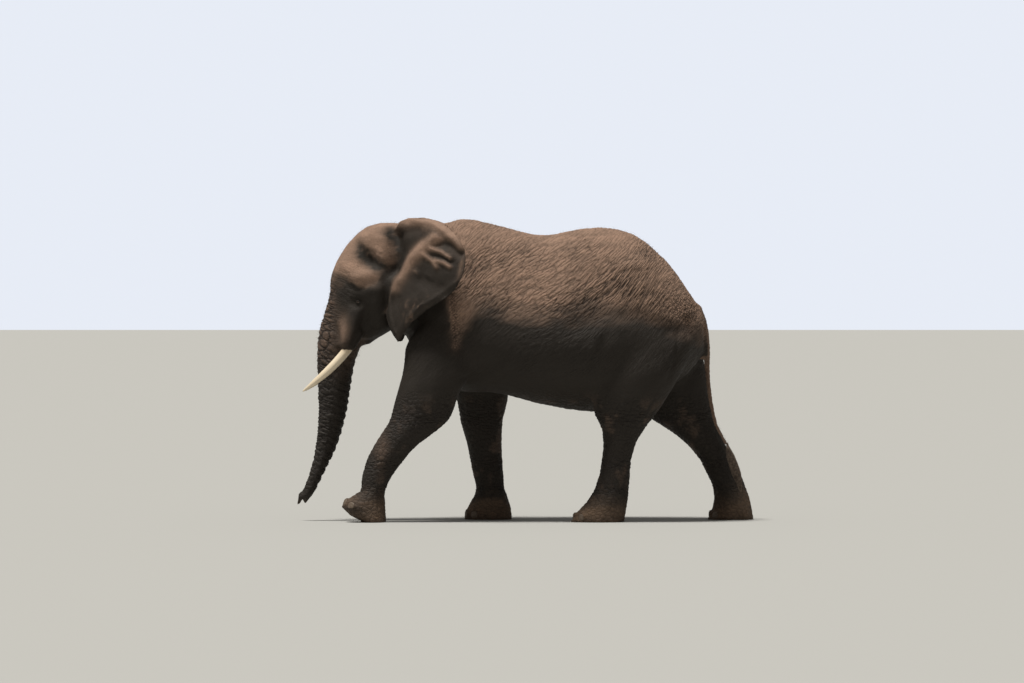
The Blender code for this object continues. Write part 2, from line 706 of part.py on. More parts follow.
def ear_mesh(sign):
    """A thin curved sheet: rows run from the ear's root to its rim."""
    rows = eased(EAR.values())[::EAR_ROW_STEP]
    across = np.linspace(0.0, 1.0, EAR_COLUMNS)
    height, front, rear, x_front, x_rear = (rows[:, i, None] for i in range(5))
    share = np.minimum(1.0, (rear - front) / EAR_BOW_WIDTH)
    bow = EAR_BOW * share * np.sin(math.pi * across)
    sheet = np.stack(
        [
            sign * (x_front + (x_rear - x_front) * across + bow),
            front + (rear - front) * across - EAR_BOW_AHEAD * bow,
            np.broadcast_to(height, bow.shape),
        ],
        axis=2,
    )
    down = np.gradient(sheet, axis=0)
    along = np.gradient(sheet, axis=1)
    outward = np.cross(along, down) * sign
    outward /= np.linalg.norm(outward, axis=2, keepdims=True)
    root, rim = EAR_THICKNESS
    thickness = (root + (rim - root) * across)[None, :, None]
    shape = bmesh.new()
    skins = [
        [[shape.verts.new(point) for point in row] for row in sheet + outward * offset]
        for offset in (thickness / 2, -thickness / 2)
    ]
    tall, wide = sheet.shape[:2]
    for skin in skins:
        for i in range(tall - 1):
            for j in range(wide - 1):
                shape.faces.new((skin[i][j], skin[i][j + 1], skin[i + 1][j + 1], skin[i + 1][j]))
    rims = (
        [(i, 0) for i in range(tall - 1)]
        + [(tall - 1, j) for j in range(wide - 1)]
        + [(i, wide - 1) for i in range(tall - 1, 0, -1)]
        + [(0, j) for j in range(wide - 1, 0, -1)]
    )
    for (i, j), (k, m) in zip(rims, rims[1:] + rims[:1]):
        shape.faces.new((skins[0][i][j], skins[0][k][m], skins[1][k][m], skins[1][i][j]))
    bmesh.ops.recalc_face_normals(shape, faces=shape.faces)
    mesh = bpy.data.meshes.new("ear")
    shape.to_mesh(mesh)
    shape.free()
    return mesh


def add_ears(body):
    """Ears end where they meet the head and neck."""
    clearance = grown(body, GAP)
    for side, sign in SIDES.items():
        ear = add_object("ear_" + side, ear_mesh(sign), "elephant")
        combine(ear, "DIFFERENCE", clearance)
        tidy(ear.data)


# ---- Parting ------------------------------------------------------------------------


def parting_box(name, extra):
    point, lean, *reaches = PARTINGS[name]
    low = [reach[0] - extra for reach in reaches]
    high = [reach[1] + extra for reach in reaches]
    size = [h - l for l, h in zip(low, high)]
    centre = [(h + l) / 2 for l, h in zip(low, high)]
    box = box_helper(name + " parting", centre, size)
    turn = Euler((math.radians(lean), 0, 0)).to_matrix().to_4x4()
    box.data.transform(Matrix.Translation(point) @ turn)
    return box


def part_off(body, name):
    """Takes what lies in the piece's box off the body, with a thin gap."""
    piece = add_object(name, body.data.copy(), "elephant")
    combine(piece, "INTERSECT", parting_box(name, 0.0))
    combine(body, "DIFFERENCE", parting_box(name, GAP))
    tidy(piece.data)
    tidy(body.data)
    return piece


# ---- Assembly -----------------------------------------------------------------------


def clear_scene():
    for obj in list(bpy.data.objects):
        bpy.data.objects.remove(obj)
    for name in ("elephant", "helpers"):
        collection = bpy.data.collections.new(name)
        bpy.context.scene.collection.children.link(collection)


def main():
    clear_scene()
    make_materials()
    body = make_body()
    thin_facets(body)
    stand_flat(body)
    add_ears(body)
    pieces = {name: part_off(body, name) for name in PARTINGS}
    torso = add_object("torso", body.data, "elephant")
    bpy.data.objects.remove(body)
    pieces["torso"] = torso
    add_eyes(pieces["head"])
    add_tusks(pieces["head"], pieces["lower_jaw"], pieces["trunk_upper"])
    for name in FEET:
        add_nails(pieces[name])
    for obj in bpy.data.collections["elephant"].objects:
        obj.data.materials.clear()
        obj.data.materials.append(bpy.data.materials[finish_of(obj.name)])
        obj.data.shade_smooth()
        obj.data.set_sharp_from_angle(angle=math.radians(50))


main()
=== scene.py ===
"""Looks of a life-size African bush elephant bull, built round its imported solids.

Metres, +Z up. The animal faces -Y and its left flank is +X. One skin stands for all the
flesh. Eyes, tusks, nails and hair are pieces of their own.
"""

import math

import bmesh
import bpy
import numpy as np
from bpy.props import (
    FloatProperty,
    FloatVectorProperty,
    IntProperty,
    PointerProperty,
)
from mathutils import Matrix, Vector
from mathutils.bvhtree import BVHTree


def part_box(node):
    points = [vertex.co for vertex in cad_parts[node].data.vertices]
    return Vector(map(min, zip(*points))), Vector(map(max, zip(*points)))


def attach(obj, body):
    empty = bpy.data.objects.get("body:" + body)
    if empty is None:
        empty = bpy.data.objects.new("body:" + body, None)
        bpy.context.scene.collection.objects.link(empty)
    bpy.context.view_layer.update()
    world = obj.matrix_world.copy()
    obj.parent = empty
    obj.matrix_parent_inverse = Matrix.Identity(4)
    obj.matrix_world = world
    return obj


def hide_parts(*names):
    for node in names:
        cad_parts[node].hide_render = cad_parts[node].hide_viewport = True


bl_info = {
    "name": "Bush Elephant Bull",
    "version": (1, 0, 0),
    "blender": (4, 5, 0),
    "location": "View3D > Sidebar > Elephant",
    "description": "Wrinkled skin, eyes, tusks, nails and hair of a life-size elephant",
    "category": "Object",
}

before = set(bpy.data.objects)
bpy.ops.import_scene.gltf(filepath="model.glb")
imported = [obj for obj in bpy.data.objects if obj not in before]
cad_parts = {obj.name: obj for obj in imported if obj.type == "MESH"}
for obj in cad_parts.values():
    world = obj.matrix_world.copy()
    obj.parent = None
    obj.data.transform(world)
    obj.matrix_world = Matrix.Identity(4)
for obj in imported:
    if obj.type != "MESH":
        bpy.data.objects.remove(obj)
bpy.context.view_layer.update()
SIDES = ("left", "right")

# Skin
EASING = 0.6  # how far a point moves towards its neighbours in one pass of smoothing
EAR_OUT, EAR_AHEAD = 0.90, -0.43  # which way an ear's sheet faces
EAR_SPREAD = 0.478  # how far out it runs for each metre to the rear
TAIL_SHIFT = 0.020  # how much closer to the leg before it the bare tail hangs than its solid
LAYERS = ("rows", "weft", "cells")  # of creases
ON_PART, ON_HEAD = 0.5, 0.75  # shares from which a part's own pattern of creases is used
SWAY = 0.5  # how far noise sways the cells of the creases, in cells
PAD_EDGE = 0.24  # how far the rounding of a pad reaches in from its border, in cells
LEVELS = 20  # steps in which the thinning spares the skin's finest parts

# The finest patterns of the skin, which only the material draws: size and height.
NET_SIZE, NET_RISE = 0.011, 0.0007
GRAIN_SIZE, GRAIN_RISE = 0.004, 0.0006
SPECK_SIZE, BLOTCH_SIZE = 0.018, 0.14
REDRAWN = 0.85  # the share of the creases' depth that the material draws once more
# Between these depths a crease's colour darkens with mud and painted shade.
GROOVE_FROM, GROOVE_TO = 0.0016, 0.0095  # depths between which a crease turns dark

# Lips and tusks
LIP_EDGE = (-1.800, 1.708)  # where a tusk comes out of the lip: y, z
LIP_FACING = (0.0, -0.080, -0.997)  # which way the lip faces there
LIP_SWELL = 0.015  # how far the lip swells round a tusk before the skin is drawn in
LIP_ROOM = 0.007  # thickness of the lip over the tusk
TUSK_HIDDEN = 0.047  # how far a tusk reaches into the lip
TUSK_FIT = 0.985  # its radius as a share of the solid's
TUSK_TIP = 0.03  # share of its way over which the tip is rounded

# Nails
NAIL_FIT = (0.96, 0.62, 0.96)  # half sizes as shares of the solid's: width, depth, height
NAIL_RIDGE, NAIL_RIDGE_RISE = 0.006, 0.0004  # from ridge to ridge, half height
NAIL_RIM = 0.30  # how high the skin round a nail rises, as a share of the nail's half depth

# Eyes and lids
EYEBALL = 0.020  # radius
LID_GAP = 0.0003  # between the eyeball and its room under the lids
CORNEA, CORNEA_TURN = 0.0011, 0.50  # how far, and how wide, the eyeball bulges in front
DARK_IRIS, IRIS_RIM, PUPIL = (0.045, 0.018, 0.007), (0.012, 0.009, 0.007), (0.002,) * 3
# Turns from the front of the eyeball at which the pupil ends, the rim and the white start.
PUPIL_TURN, RIM_TURN, WHITE_TURN = (0.21, 0.25), (0.56, 0.66), (0.70, 0.90)
UPPER_LID, LOWER_LID = 0.0050, 0.0035  # thickness of the lids over the eyeball
SLIT_HALF, SLIT_UPPER, SLIT_LOWER = 0.029, 0.0100, 0.0085  # half width and heights
SLIT_TILT = math.radians(16)
SLIT_FLOOR = 0.005  # height over the eyeball's middle of the skin that lines the slit, unseen
LID_EDGE, LID_SIDE = 0.028, 0.045  # from where to where the domed lids melt into the face
LID_RIM = 0.0016  # how high the lids' rims stand
LID_REACHES = (0.11, 0.075, 0.036)  # from the eye, each with faces half the size
# Folds round the lids: distance from the slit, depth.
LID_FOLDS = ((0.0135, 0.0042), (0.026, 0.0040), (0.040, 0.0034), (0.056, 0.0026))

# Hair and stage
LASHES = 54  # on each upper lid
LASH_LENGTH, BRISTLE_LENGTH = (0.014, 0.016), (0.015, 0.030)  # shortest, and by how much more
LASH_RADIUS, BRISTLE_RADIUS = 0.0005, 0.00055
LASH_DROOP, BRISTLE_DROOP = 0.55, 0.25  # how far they bend down, as shares of their length
LASH_STEPS, BRISTLE_STEPS, TUFT_STEPS = 6, 4, 9  # rings along one hair
HAIR_ROOT = 0.003  # how deep a bristle is rooted in the skin
TAIL_HAIR_DUST_AND_LIGHT = 4.0  # how much lighter than clean hair the tail's hair is: dusty, and painted lighter for the shade its hairs cast
FLOOR_GAP, FLOOR_HALF = 0.001, 4000.0  # how far the floor lies below the soles, half its size
KEY_ANGLE, KEY_COLOUR = math.radians(14), (1.0, 0.97, 0.92)
KEY_WAY = (-0.16, 0.24, -1.0)  # which way the light falls
CAMERA_Y, CAMERA_PITCH = -0.135, math.radians(90 - 0.16)  # it looks down a trifle
WARM, COOL = (1.0, 0.97, 0.93, 1), (0.80, 0.84, 0.92, 1)  # light from all round, backdrop

NAILS = [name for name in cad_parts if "_nail" in name]
FLESH = [
    name
    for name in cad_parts
    if not name.startswith(("eye", "tusk")) and name not in (*NAILS, "tail_tuft")
]


def middle_of(node):
    low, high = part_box(node)
    return np.array((low + high) / 2)


def colour(name, description, default):
    return FloatVectorProperty(
        name=name, description=description, default=default, size=3, subtype="COLOR",
        min=0.0, max=1.0,
    )


def length(name, description, default):
    return FloatProperty(
        name=name, description=description, default=default, unit="LENGTH", precision=4
    )


def number(name, description, default):
    return FloatProperty(name=name, description=description, default=default)


# ---- Settings -----------------------------------------------------------------------


class SkinSettings(bpy.types.PropertyGroup):
    grain: length("Grain", "Spacing of the skin's points before thinning", 0.0085)
    swell: length("Swell", "How far solids swell so that the cuts between them close", 0.005)
    depth: length("Depth", "How far the skin lies inside the solids", 0.003)
    triangles: IntProperty(
        name="Triangles", description="Triangles of the finished skin", default=196000
    )
    crease: length("Crease depth", "Depth of the main creases on flank and hip", 0.0095)
    dust: colour("Dust", "Dry dust on the back and brow", (0.335, 0.215, 0.152))
    soil: colour("Soil", "Reddish soil on the feet", (0.150, 0.095, 0.058))
    hide: colour("Hide", "Bare hide on the flanks", (0.120, 0.083, 0.062))
    # Shade: wet hide, laid darker than it is as painted shade of the belly and legs.
    shade: colour("Shade", "Damp dark hide of belly and legs", (0.0195, 0.0142, 0.0095))
    # Groove: mud and painted shade at the bottom of a crease.
    groove: colour("Groove", "Bottom of a crease", (0.018, 0.013, 0.010))


class TuskSettings(bpy.types.PropertyGroup):
    ivory: colour("Ivory", "Clean worn ivory", (0.80, 0.68, 0.50))
    stain: colour("Stain", "Stained ivory at the lip and in the cracks", (0.38, 0.25, 0.14))


class EyeSettings(bpy.types.PropertyGroup):
    iris: colour("Iris", "Brown of the iris", (0.16, 0.070, 0.022))
    # The white is laid dark: stained, and darker still as painted shade of the lids over it.
    white: colour("White", "Dark-stained white round the iris", (0.10, 0.070, 0.050))


class NailSettings(bpy.types.PropertyGroup):
    horn: colour("Horn", "Dusty horn of the nails", (0.170, 0.128, 0.092))
    dirt: colour("Dirt", "Soil that clings to the nails", (0.10, 0.068, 0.045))


class HairSettings(bpy.types.PropertyGroup):
    strand: length("Strand", "Thickness of a tail hair at its root", 0.0022)
    strands: IntProperty(name="Strands", description="Hairs in the tail's tuft", default=2600)
    bristles: IntProperty(name="Bristles", description="Bristles over the body", default=3600)
    black: colour("Hair", "Coarse black-brown hair", (0.030, 0.023, 0.018))


class StageSettings(bpy.types.PropertyGroup):
    distance: length("Distance", "From the camera to the middle of the body", 50.0)
    height: length("Camera height", "Height of the camera above the floor", 1.93)
    lens: FloatProperty(
        name="Lens", description="Focal length", default=175.8, unit="CAMERA"
    )
    floor: colour("Floor", "Plain pale floor", (0.42, 0.42, 0.40))
    key: number("Key", "Strength of the overhead light", 3.9)
    fill: number("Fill", "Strength of the light from all round", 0.22)


# ---- Numbers ------------------------------------------------------------------------


def bell(points, centre, reach):
    """1 at the centre, falling as a bell: exp(-sum of squares of (point - centre) / reach)."""
    away = (points - np.asarray(centre, np.float32)) / np.asarray(reach, np.float32)
    return np.exp(-(away**2).sum(axis=1))


def ramp(value, start, end):
    """0 up to the start, 1 past the end, and a smooth 3t^2 - 2t^3 between them. Where the
    end lies below the start, it is 1 for all that is lower."""
    t = np.clip((value - start) / (end - start), 0.0, 1.0)
    return t * t * (3 - 2 * t)


def hump(value, middle, width):
    """1 at the middle, falling to each side as exp(-((value - middle) / width)^2)."""
    return np.exp(-(((value - middle) / width) ** 2))


def stroke(across, path, width):
    """1 on a path of straight stretches through a flat view, falling to each side as
    exp(-(distance / width)^2)."""
    nearest = np.full(len(across), np.inf, np.float32)
    path = np.asarray(path, np.float32)
    for start, end in zip(path, path[1:]):
        run = end - start
        t = np.clip((across - start) @ run / (run @ run), 0.0, 1.0)
        away = ((across - start - t[:, None] * run) ** 2).sum(axis=1)
        nearest = np.minimum(nearest, away)
    return np.exp(-nearest / width**2)


def within(points, middle, reach):
    """The indices of the points nearer to the middle than the reach."""
    return np.flatnonzero(((points - middle) ** 2).sum(axis=1) < reach**2)


def in_box(points, low, high, margin):
    """The indices of the points in a box with a margin round it."""
    inside = (points > low - margin) & (points < high + margin)
    return np.flatnonzero(inside.all(axis=1))


def height_of(line, y):
    """The height of a drawn line at each y."""
    return np.interp(y, *zip(*line)).astype(np.float32)


def hashed(cells, seed):
    """Three even random numbers for each whole-numbered cell, by multiplying and shifting."""
    cells = cells.astype(np.int64).astype(np.uint32)
    mixed = cells[:, 0] * np.uint32(0x8DA6B343) ^ cells[:, 1] * np.uint32(0xD8163841)
    mixed ^= cells[:, 2] * np.uint32(0xCB1AB31F) ^ np.uint32(seed * 0x9E3779B1 & 0xFFFFFFFF)
    for shift, factor in ((15, 0x2C1B3C6D), (12, 0x297A2D39)):
        mixed ^= mixed >> np.uint32(shift)
        mixed *= np.uint32(factor)
    mixed ^= mixed >> np.uint32(15)
    parts = [(mixed >> np.uint32(10 * k)) & np.uint32(1023) for k in range(3)]
    return np.stack(parts, axis=1).astype(np.float32) / 1023


def chances(seed, *numbers):
    """Three even random numbers for each row of three whole numbers."""
    return hashed(np.stack(np.broadcast_arrays(*numbers), 1), seed)


def clouds(points, size, seed):
    """Smooth random field from -1 to 1: random corner values, blended over each cell."""
    place = (points / np.asarray(size, np.float32)).astype(np.float32)
    base = np.floor(place)
    t = place - base
    t = t * t * (3 - 2 * t)
    total = np.zeros(len(points), np.float32)
    for corner in np.ndindex(2, 2, 2):
        corner = np.array(corner, np.float32)
        share = np.prod(np.where(corner > 0, t, 1 - t), axis=1)
        total += share * hashed(base + corner, seed)[:, 0]
    return 2 * total - 1


def add_borders(tree, place, scale=1.0):
    """Adds nodes for the distance to the border of the cell a place lies in. Soft noise
    sways the place first, so that no border is straight."""
    noise, sway = tree.nodes.new("ShaderNodeTexNoise"), tree.nodes.new("ShaderNodeVectorMath")
    cells = tree.nodes.new("ShaderNodeTexVoronoi")
    sway.operation = "MULTIPLY_ADD"
    sway.inputs[1].default_value = (SWAY / scale,) * 3
    cells.feature = "DISTANCE_TO_EDGE"
    cells.inputs["Scale"].default_value = scale
    noise.inputs["Scale"].default_value = 1.3 * scale
    noise.inputs["Detail"].default_value = 1.0
    tree.links.new(place, noise.inputs["Vector"])
    tree.links.new(noise.outputs["Color"], sway.inputs[0])
    tree.links.new(place, sway.inputs[2])
    tree.links.new(sway.outputs[0], cells.inputs["Vector"])
    return cells.outputs["Distance"]


def border_nodes():
    """A Geometry Nodes group that notes on each point how far its cell's border is. The
    material uses the same nodes, so its creases fall where the mesh has them."""
    group = bpy.data.node_groups.new("borders", "GeometryNodeTree")
    for way in ("INPUT", "OUTPUT"):
        group.interface.new_socket("Mesh", in_out=way, socket_type="NodeSocketGeometry")
    nodes, links = group.nodes, group.links
    start, end = nodes.new("NodeGroupInput"), nodes.new("NodeGroupOutput")
    place = nodes.new("GeometryNodeInputPosition")
    note = nodes.new("GeometryNodeStoreNamedAttribute")
    note.inputs["Name"].default_value = "away"
    links.new(start.outputs[0], note.inputs["Geometry"])
    links.new(add_borders(group, place.outputs[0]), note.inputs["Value"])
    links.new(note.outputs[0], end.inputs[0])
    return group


def pads(places):
    """How high each point stands in its cell: 0 on the border, rising as a square root to 1
    inside. Places count in cells."""
    mesh = bpy.data.meshes.new("cells")
    mesh.vertices.add(len(places))
    place_points(mesh, places)
    carrier = placed("cells", mesh)
    carrier.modifiers.new("borders", "NODES").node_group = border_nodes()
    noted = applied(carrier)
    away = read(noted.attributes["away"].data, "value", 1)[:, 0]
    bpy.data.objects.remove(carrier)
    bpy.data.meshes.remove(noted)
    return np.sqrt(np.clip(away / PAD_EDGE, 0.0, 1.0))


# ---- Mesh helpers -------------------------------------------------------------------


def read(items, name, width, kind=np.float32):
    """One property of a mesh's items, a row for each."""
    values = np.empty(len(items) * width, kind)
    items.foreach_get(name, values)
    return values.reshape(-1, width)


def points_of(mesh):
    return read(mesh.vertices, "co", 3)


def normals_of(mesh):
    return read(mesh.vertices, "normal", 3)


def links_of(mesh):
    """The two ends of every edge."""
    return read(mesh.edges, "vertices", 2, np.int32).T


def place_points(mesh, points):
    mesh.vertices.foreach_set("co", np.ascontiguousarray(points, np.float32).ravel())
    mesh.update()


def keep_values(mesh, name, values, kind="vector"):
    """Notes a vector, or a value, on each point, for the material to read."""
    types = {"vector": "FLOAT_VECTOR", "value": "FLOAT"}
    layer = mesh.attributes.new(name, types[kind], "POINT")
    layer.data.foreach_set(kind, np.ascontiguousarray(values, np.float32).ravel())


def placed(name, data):
    """A new object in the scene."""
    made = bpy.data.objects.new(name, data)
    bpy.context.scene.collection.objects.link(made)
    return made


def add_piece(name, mesh, material, slot, *nodes):
    """A finished piece at the origin that rides on the body and stands for CAD nodes."""
    mesh.materials.append(material)
    piece = placed(name, mesh)
    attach(piece, "root")
    if nodes:
        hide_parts(*nodes)


def applied(obj):
    """The object's mesh with its modifiers applied."""
    graph = bpy.context.evaluated_depsgraph_get()
    graph.update()
    mesh = bpy.data.meshes.new_from_object(obj.evaluated_get(graph))
    old = obj.data
    obj.modifiers.clear()
    obj.data = mesh
    bpy.data.meshes.remove(old)
    return mesh


def shape_of(mesh):
    """The mesh as a bmesh."""
    shape = bmesh.new()
    shape.from_mesh(mesh)
    shape.verts.ensure_lookup_table()
    return shape


def mesh_of(shape, name):
    """The bmesh as a mesh, which ends the bmesh."""
    mesh = bpy.data.meshes.new(name)
    shape.to_mesh(mesh)
    shape.free()
    return mesh


def merged_node(name):
    """A bmesh copy of a CAD node with its doubled points merged."""
    shape = shape_of(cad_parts[name].data)
    bmesh.ops.remove_doubles(shape, verts=shape.verts, dist=1e-5)
    return shape


def tree_of(*names):
    """A search tree over the faces of some CAD nodes."""
    joined = bmesh.new()
    for name in names:
        joined.from_mesh(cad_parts[name].data)
    tree = BVHTree.FromBMesh(joined)
    joined.free()
    return tree


def grid_faces(rows, columns):
    """Quads of a grid of rows by columns of points, joined round."""
    i, j = np.meshgrid(np.arange(rows - 1), np.arange(columns), indexing="ij")
    k = (j + 1) % columns
    faces = np.stack(
        [i * columns + j, i * columns + k, (i + 1) * columns + k, (i + 1) * columns + j],
        axis=-1,
    )
    return faces.reshape(-1, 4)


# ---- The skin's form ----------------------------------------------------------------

# Sizes of the creases' cells: across, along and through on the flank, else along x, y, z.
ROW_CELL = np.array((0.033, 0.170, 0.300), np.float32)
WEFT_CELL = np.array((0.034, 0.050, 0.075), np.float32)
LEG_CELL = np.array((0.130, 0.130, 0.032), np.float32)
RING_CELL = np.array((0.190, 0.190, 0.036), np.float32)
NET_CELL = np.array((0.055, 0.055, 0.036), np.float32)
FINE_CELL = np.array((0.026, 0.026, 0.021), np.float32)

# How steeply the flank's creases rise to the rear: y, slope.
CREASE_SLOPES = [
    (-1.3, 1.0), (-0.8, 1.1), (-0.3, 0.85), (0.1, 0.60), (0.5, 0.65), (0.9, 1.05), (1.2, 1.35),
    (1.5, 1.1), (2.0, 0.7),
]
# Where the flank's creases are deeper: share added, (y, z), reach.
DEEP_CREASES = {
    "shoulder": (0.28, (-0.45, 2.40), (0.34, 0.40)),
    "upper flank": (0.30, (0.15, 2.22), (0.55, 0.27)),
    "hip": (0.75, (1.02, 2.28), (0.42, 0.22)),
}
LEG_FOLDS = [(0.32, 0.05), (0.56, 0.09), (1.02, 0.12)]  # rows round the joints: height, reach
# Depths of the creases that aren't the body's own.
JOINT_ROWS, TRUNK_ROWS, BROW_ROWS = 0.0080, 0.0100, 0.0040
LEG_WEFT, TRUNK_WEFT = 0.0055, 0.0040
HEAD_CELLS, TAIL_CELLS, EAR_CELLS, ALL_CELLS = 0.0016, 0.0045, 0.0010, 0.0010
SCALLOP_LENGTH, SCALLOP_DEPTH = 0.078, 0.011  # waves down the back of the trunk

# Strokes on both sides of the head, drawn through (y, z): path, width, rise.
HEAD_STROKES = {
    "temple hollow": ([(-1.69, 2.77), (-1.60, 2.67), (-1.50, 2.56)], 0.085, -0.022),
    "temple pit": ([(-1.64, 2.67), (-1.55, 2.59), (-1.45, 2.53)], 0.060, -0.016),
    "temple notch": ([(-1.71, 2.80), (-1.64, 2.72)], 0.030, -0.008),
    "temple edge": ([(-1.66, 2.64), (-1.60, 2.55)], 0.020, 0.006),
    "first streak": ([(-1.49, 2.72), (-1.43, 2.67)], 0.014, 0.010),
    "second streak": ([(-1.475, 2.655), (-1.415, 2.61)], 0.014, 0.010),
    "third streak": ([(-1.50, 2.60), (-1.43, 2.565)], 0.013, 0.008),
    "crown lump": ([(-1.53, 2.89), (-1.40, 2.80)], 0.055, 0.012),
    "brow": ([(-1.84, 2.57), (-1.68, 2.45), (-1.52, 2.475)], 0.055, 0.020),
    "under brow": ([(-1.80, 2.37), (-1.68, 2.32), (-1.56, 2.36), (-1.45, 2.40)], 0.045, -0.014),
    "brow pocket": ([(-1.88, 2.43), (-1.80, 2.42)], 0.035, -0.010),
    "cheekbone": ([(-1.60, 2.10), (-1.47, 2.20), (-1.42, 2.32)], 0.050, 0.008),
    "behind eye": ([(-1.57, 2.15), (-1.60, 2.00), (-1.62, 1.88)], 0.035, -0.016),
    "jaw muscle": ([(-1.48, 2.18), (-1.46, 2.02)], 0.060, 0.010),
    "ear root fold": ([(-1.395, 2.42), (-1.385, 2.15), (-1.36, 1.98)], 0.022, -0.018),
    "mouth": ([(-1.74, 1.76), (-1.62, 1.84), (-1.50, 1.93)], 0.016, -0.014),
    "sheath front": ([(-1.93, 2.16), (-1.91, 1.98), (-1.86, 1.80)], 0.028, -0.014),
}
# Strokes on the ears: path, width, rise outwards.
EAR_STROKES = {
    "upper rim": ([(-1.12, 3.00), (-0.92, 2.98), (-0.74, 2.83), (-0.66, 2.72)], 0.036, 0.020),
    "top hollow": ([(-1.28, 2.87), (-1.19, 2.88), (-1.08, 2.90)], 0.050, -0.022),
    "long ridge": ([(-1.33, 2.28), (-1.17, 2.58), (-1.00, 2.74), (-0.90, 2.81)], 0.052, 0.036),
    "rear hollow": ([(-0.88, 2.76), (-0.75, 2.74), (-0.64, 2.66)], 0.048, -0.028),
    "first crumple": ([(-0.94, 2.71), (-0.84, 2.68), (-0.75, 2.62)], 0.022, 0.020),
    "second crumple": ([(-0.89, 2.59), (-0.81, 2.57), (-0.75, 2.53)], 0.021, 0.018),
    "third crumple": ([(-1.01, 2.65), (-0.94, 2.60), (-0.88, 2.53)], 0.022, 0.016),
    "between crumples": ([(-0.92, 2.65), (-0.82, 2.62), (-0.72, 2.57)], 0.020, -0.010),
    "upper lump": ([(-1.10, 2.49), (-1.07, 2.46)], 0.022, 0.010),
    "rear lump": ([(-0.98, 2.45), (-0.93, 2.41)], 0.022, 0.010),
    "lower hollow": ([(-1.02, 2.40), (-0.88, 2.33), (-0.78, 2.28)], 0.080, -0.020),
    "rear edge": ([(-0.62, 2.62), (-0.66, 2.40), (-0.86, 2.23), (-1.10, 2.04)], 0.022, 0.010),
    "front edge": ([(-1.36, 2.32), (-1.35, 2.05), (-1.30, 1.88)], 0.024, 0.014),
    "lobe fold": ([(-1.25, 2.22), (-1.25, 2.02), (-1.27, 1.92)], 0.026, -0.012),
}
# Strokes where ear and head meet, which move both and the neck behind them alike.
ROOT_STROKES = {
    "valley": ([(-1.36, 2.92), (-1.34, 2.74), (-1.36, 2.48)], 0.060, -0.048),
    "front hollow": ([(-1.28, 2.83), (-1.25, 2.68), (-1.30, 2.52)], 0.070, -0.075),
}
EVERYWHERE = (9.0, 8.0)  # the whole animal lies past the end of this stretch of y
# Parts that take less of the smoothing: how much less, and from where to where that sets
# in along y and in height.
HELD_BACK = {
    "head": (0.65, (-1.25, -1.45), (1.5, 1.7)),
    "trunk": (0.50, (-1.60, -1.70), (1.9, 1.2)),
    "feet": (0.60, EVERYWHERE, (0.40, 0.25)),
    "trunk tip": (0.75, (-2.04, -2.12), (0.34, 0.24)),
}
FINGER_SLOT = [(-2.224, 0.200), (-2.240, 0.150)]  # between the lips of the trunk's end
TRUNK_TIP = (0.0, -2.23, 0.21)
FINGER_TIPS = [(0.0, -2.280, 0.160), (0.0, -2.203, 0.166)]
EAR_TOP = [(-1.38, 2.94), (-1.27, 2.98)]
NAPE = [(-1.24, 3.00), (-1.22, 2.70)]  # where the head ends on the neck
MELTED = [(-1.37, 3.00), (-1.34, 2.74), (-1.37, 2.46), (-1.38, 2.30)]  # the ear's root
# How far the ear's lobe reaches behind its front edge, as a share of the solid's width:
# height, place of the front edge, share.
LOBE = [
    (1.80, -1.275, 0.42), (1.85, -1.290, 0.50), (1.90, -1.310, 0.59), (2.00, -1.345, 0.72),
    (2.10, -1.360, 0.81), (2.20, -1.375, 0.92), (2.30, -1.375, 0.98), (2.40, -1.375, 1.00),
]
# Bites out of the ears' rear margin: (y, z), radius, depth.
EAR_NICKS = [((-1.02, 2.13), 0.026, 0.026), ((-1.13, 2.00), 0.022, 0.018)]
# Strokes on both flanks and legs: path, width, rise.
BODY_STROKES = {
    "shoulder blade": ([(-0.66, 2.70), (-0.70, 2.40), (-0.84, 2.05)], 0.070, 0.010),
    "behind blade": ([(-0.42, 2.62), (-0.46, 2.30), (-0.46, 1.90)], 0.110, -0.022),
    "arm muscle": ([(-0.74, 2.28), (-0.73, 1.90), (-0.69, 1.50)], 0.050, 0.012),
    "before arm muscle": ([(-0.92, 2.20), (-0.90, 1.85)], 0.070, -0.010),
    "armpit fold": ([(-0.62, 1.42), (-0.44, 1.46), (-0.26, 1.60)], 0.030, -0.016),
    "armpit roll": ([(-0.60, 1.36), (-0.40, 1.40), (-0.20, 1.52)], 0.030, 0.010),
    "hip bone": ([(0.98, 2.56), (1.14, 2.54), (1.26, 2.44)], 0.070, 0.012),
    "hip ridge": ([(0.50, 2.26), (0.80, 2.37), (1.15, 2.37), (1.48, 2.24)], 0.080, 0.010),
    "under hip": ([(0.50, 1.96), (0.84, 2.06), (1.14, 2.02), (1.42, 1.90)], 0.110, -0.026),
    "flank fold": ([(0.62, 1.30), (0.70, 1.62), (0.84, 1.92)], 0.060, -0.010),
    "flank roll": ([(0.50, 1.26), (0.58, 1.56), (0.72, 1.86)], 0.060, 0.006),
    "ham groove": ([(1.52, 1.94), (1.50, 1.66), (1.42, 1.40)], 0.030, -0.014),
    "pin bone": ([(1.56, 2.20), (1.62, 2.10)], 0.060, 0.012),
    "tail pocket": ([(1.60, 2.02), (1.64, 1.86)], 0.040, -0.022),
}
# Where the dusty upper flank ends and the dark lower one starts, wet hide and painted
# shade; before the shoulder it lies high, which paints the ear's shadow: y, height.
DAMP_AND_SHADE_LINE = [
    (-1.2, 2.30), (-0.80, 2.32), (-0.76, 2.15), (-0.73, 1.80), (-0.68, 1.76), (-0.60, 1.92),
    (-0.48, 2.14), (-0.35, 2.21), (-0.18, 2.11), (0.00, 2.09),
    (0.21, 2.08), (0.38, 2.10), (0.55, 2.13), (0.83, 2.13), (1.11, 2.05), (1.58, 1.93),
    (1.90, 1.80),
]
# Where forehead and brow dust ends above the painted shade under the brow: y, height.
BROW_LINE = [
    (-2.0, 2.52), (-1.88, 2.47), (-1.82, 2.44), (-1.74, 2.40), (-1.675, 2.345), (-1.60, 2.34),
    (-1.475, 2.39), (-1.40, 2.52),
]
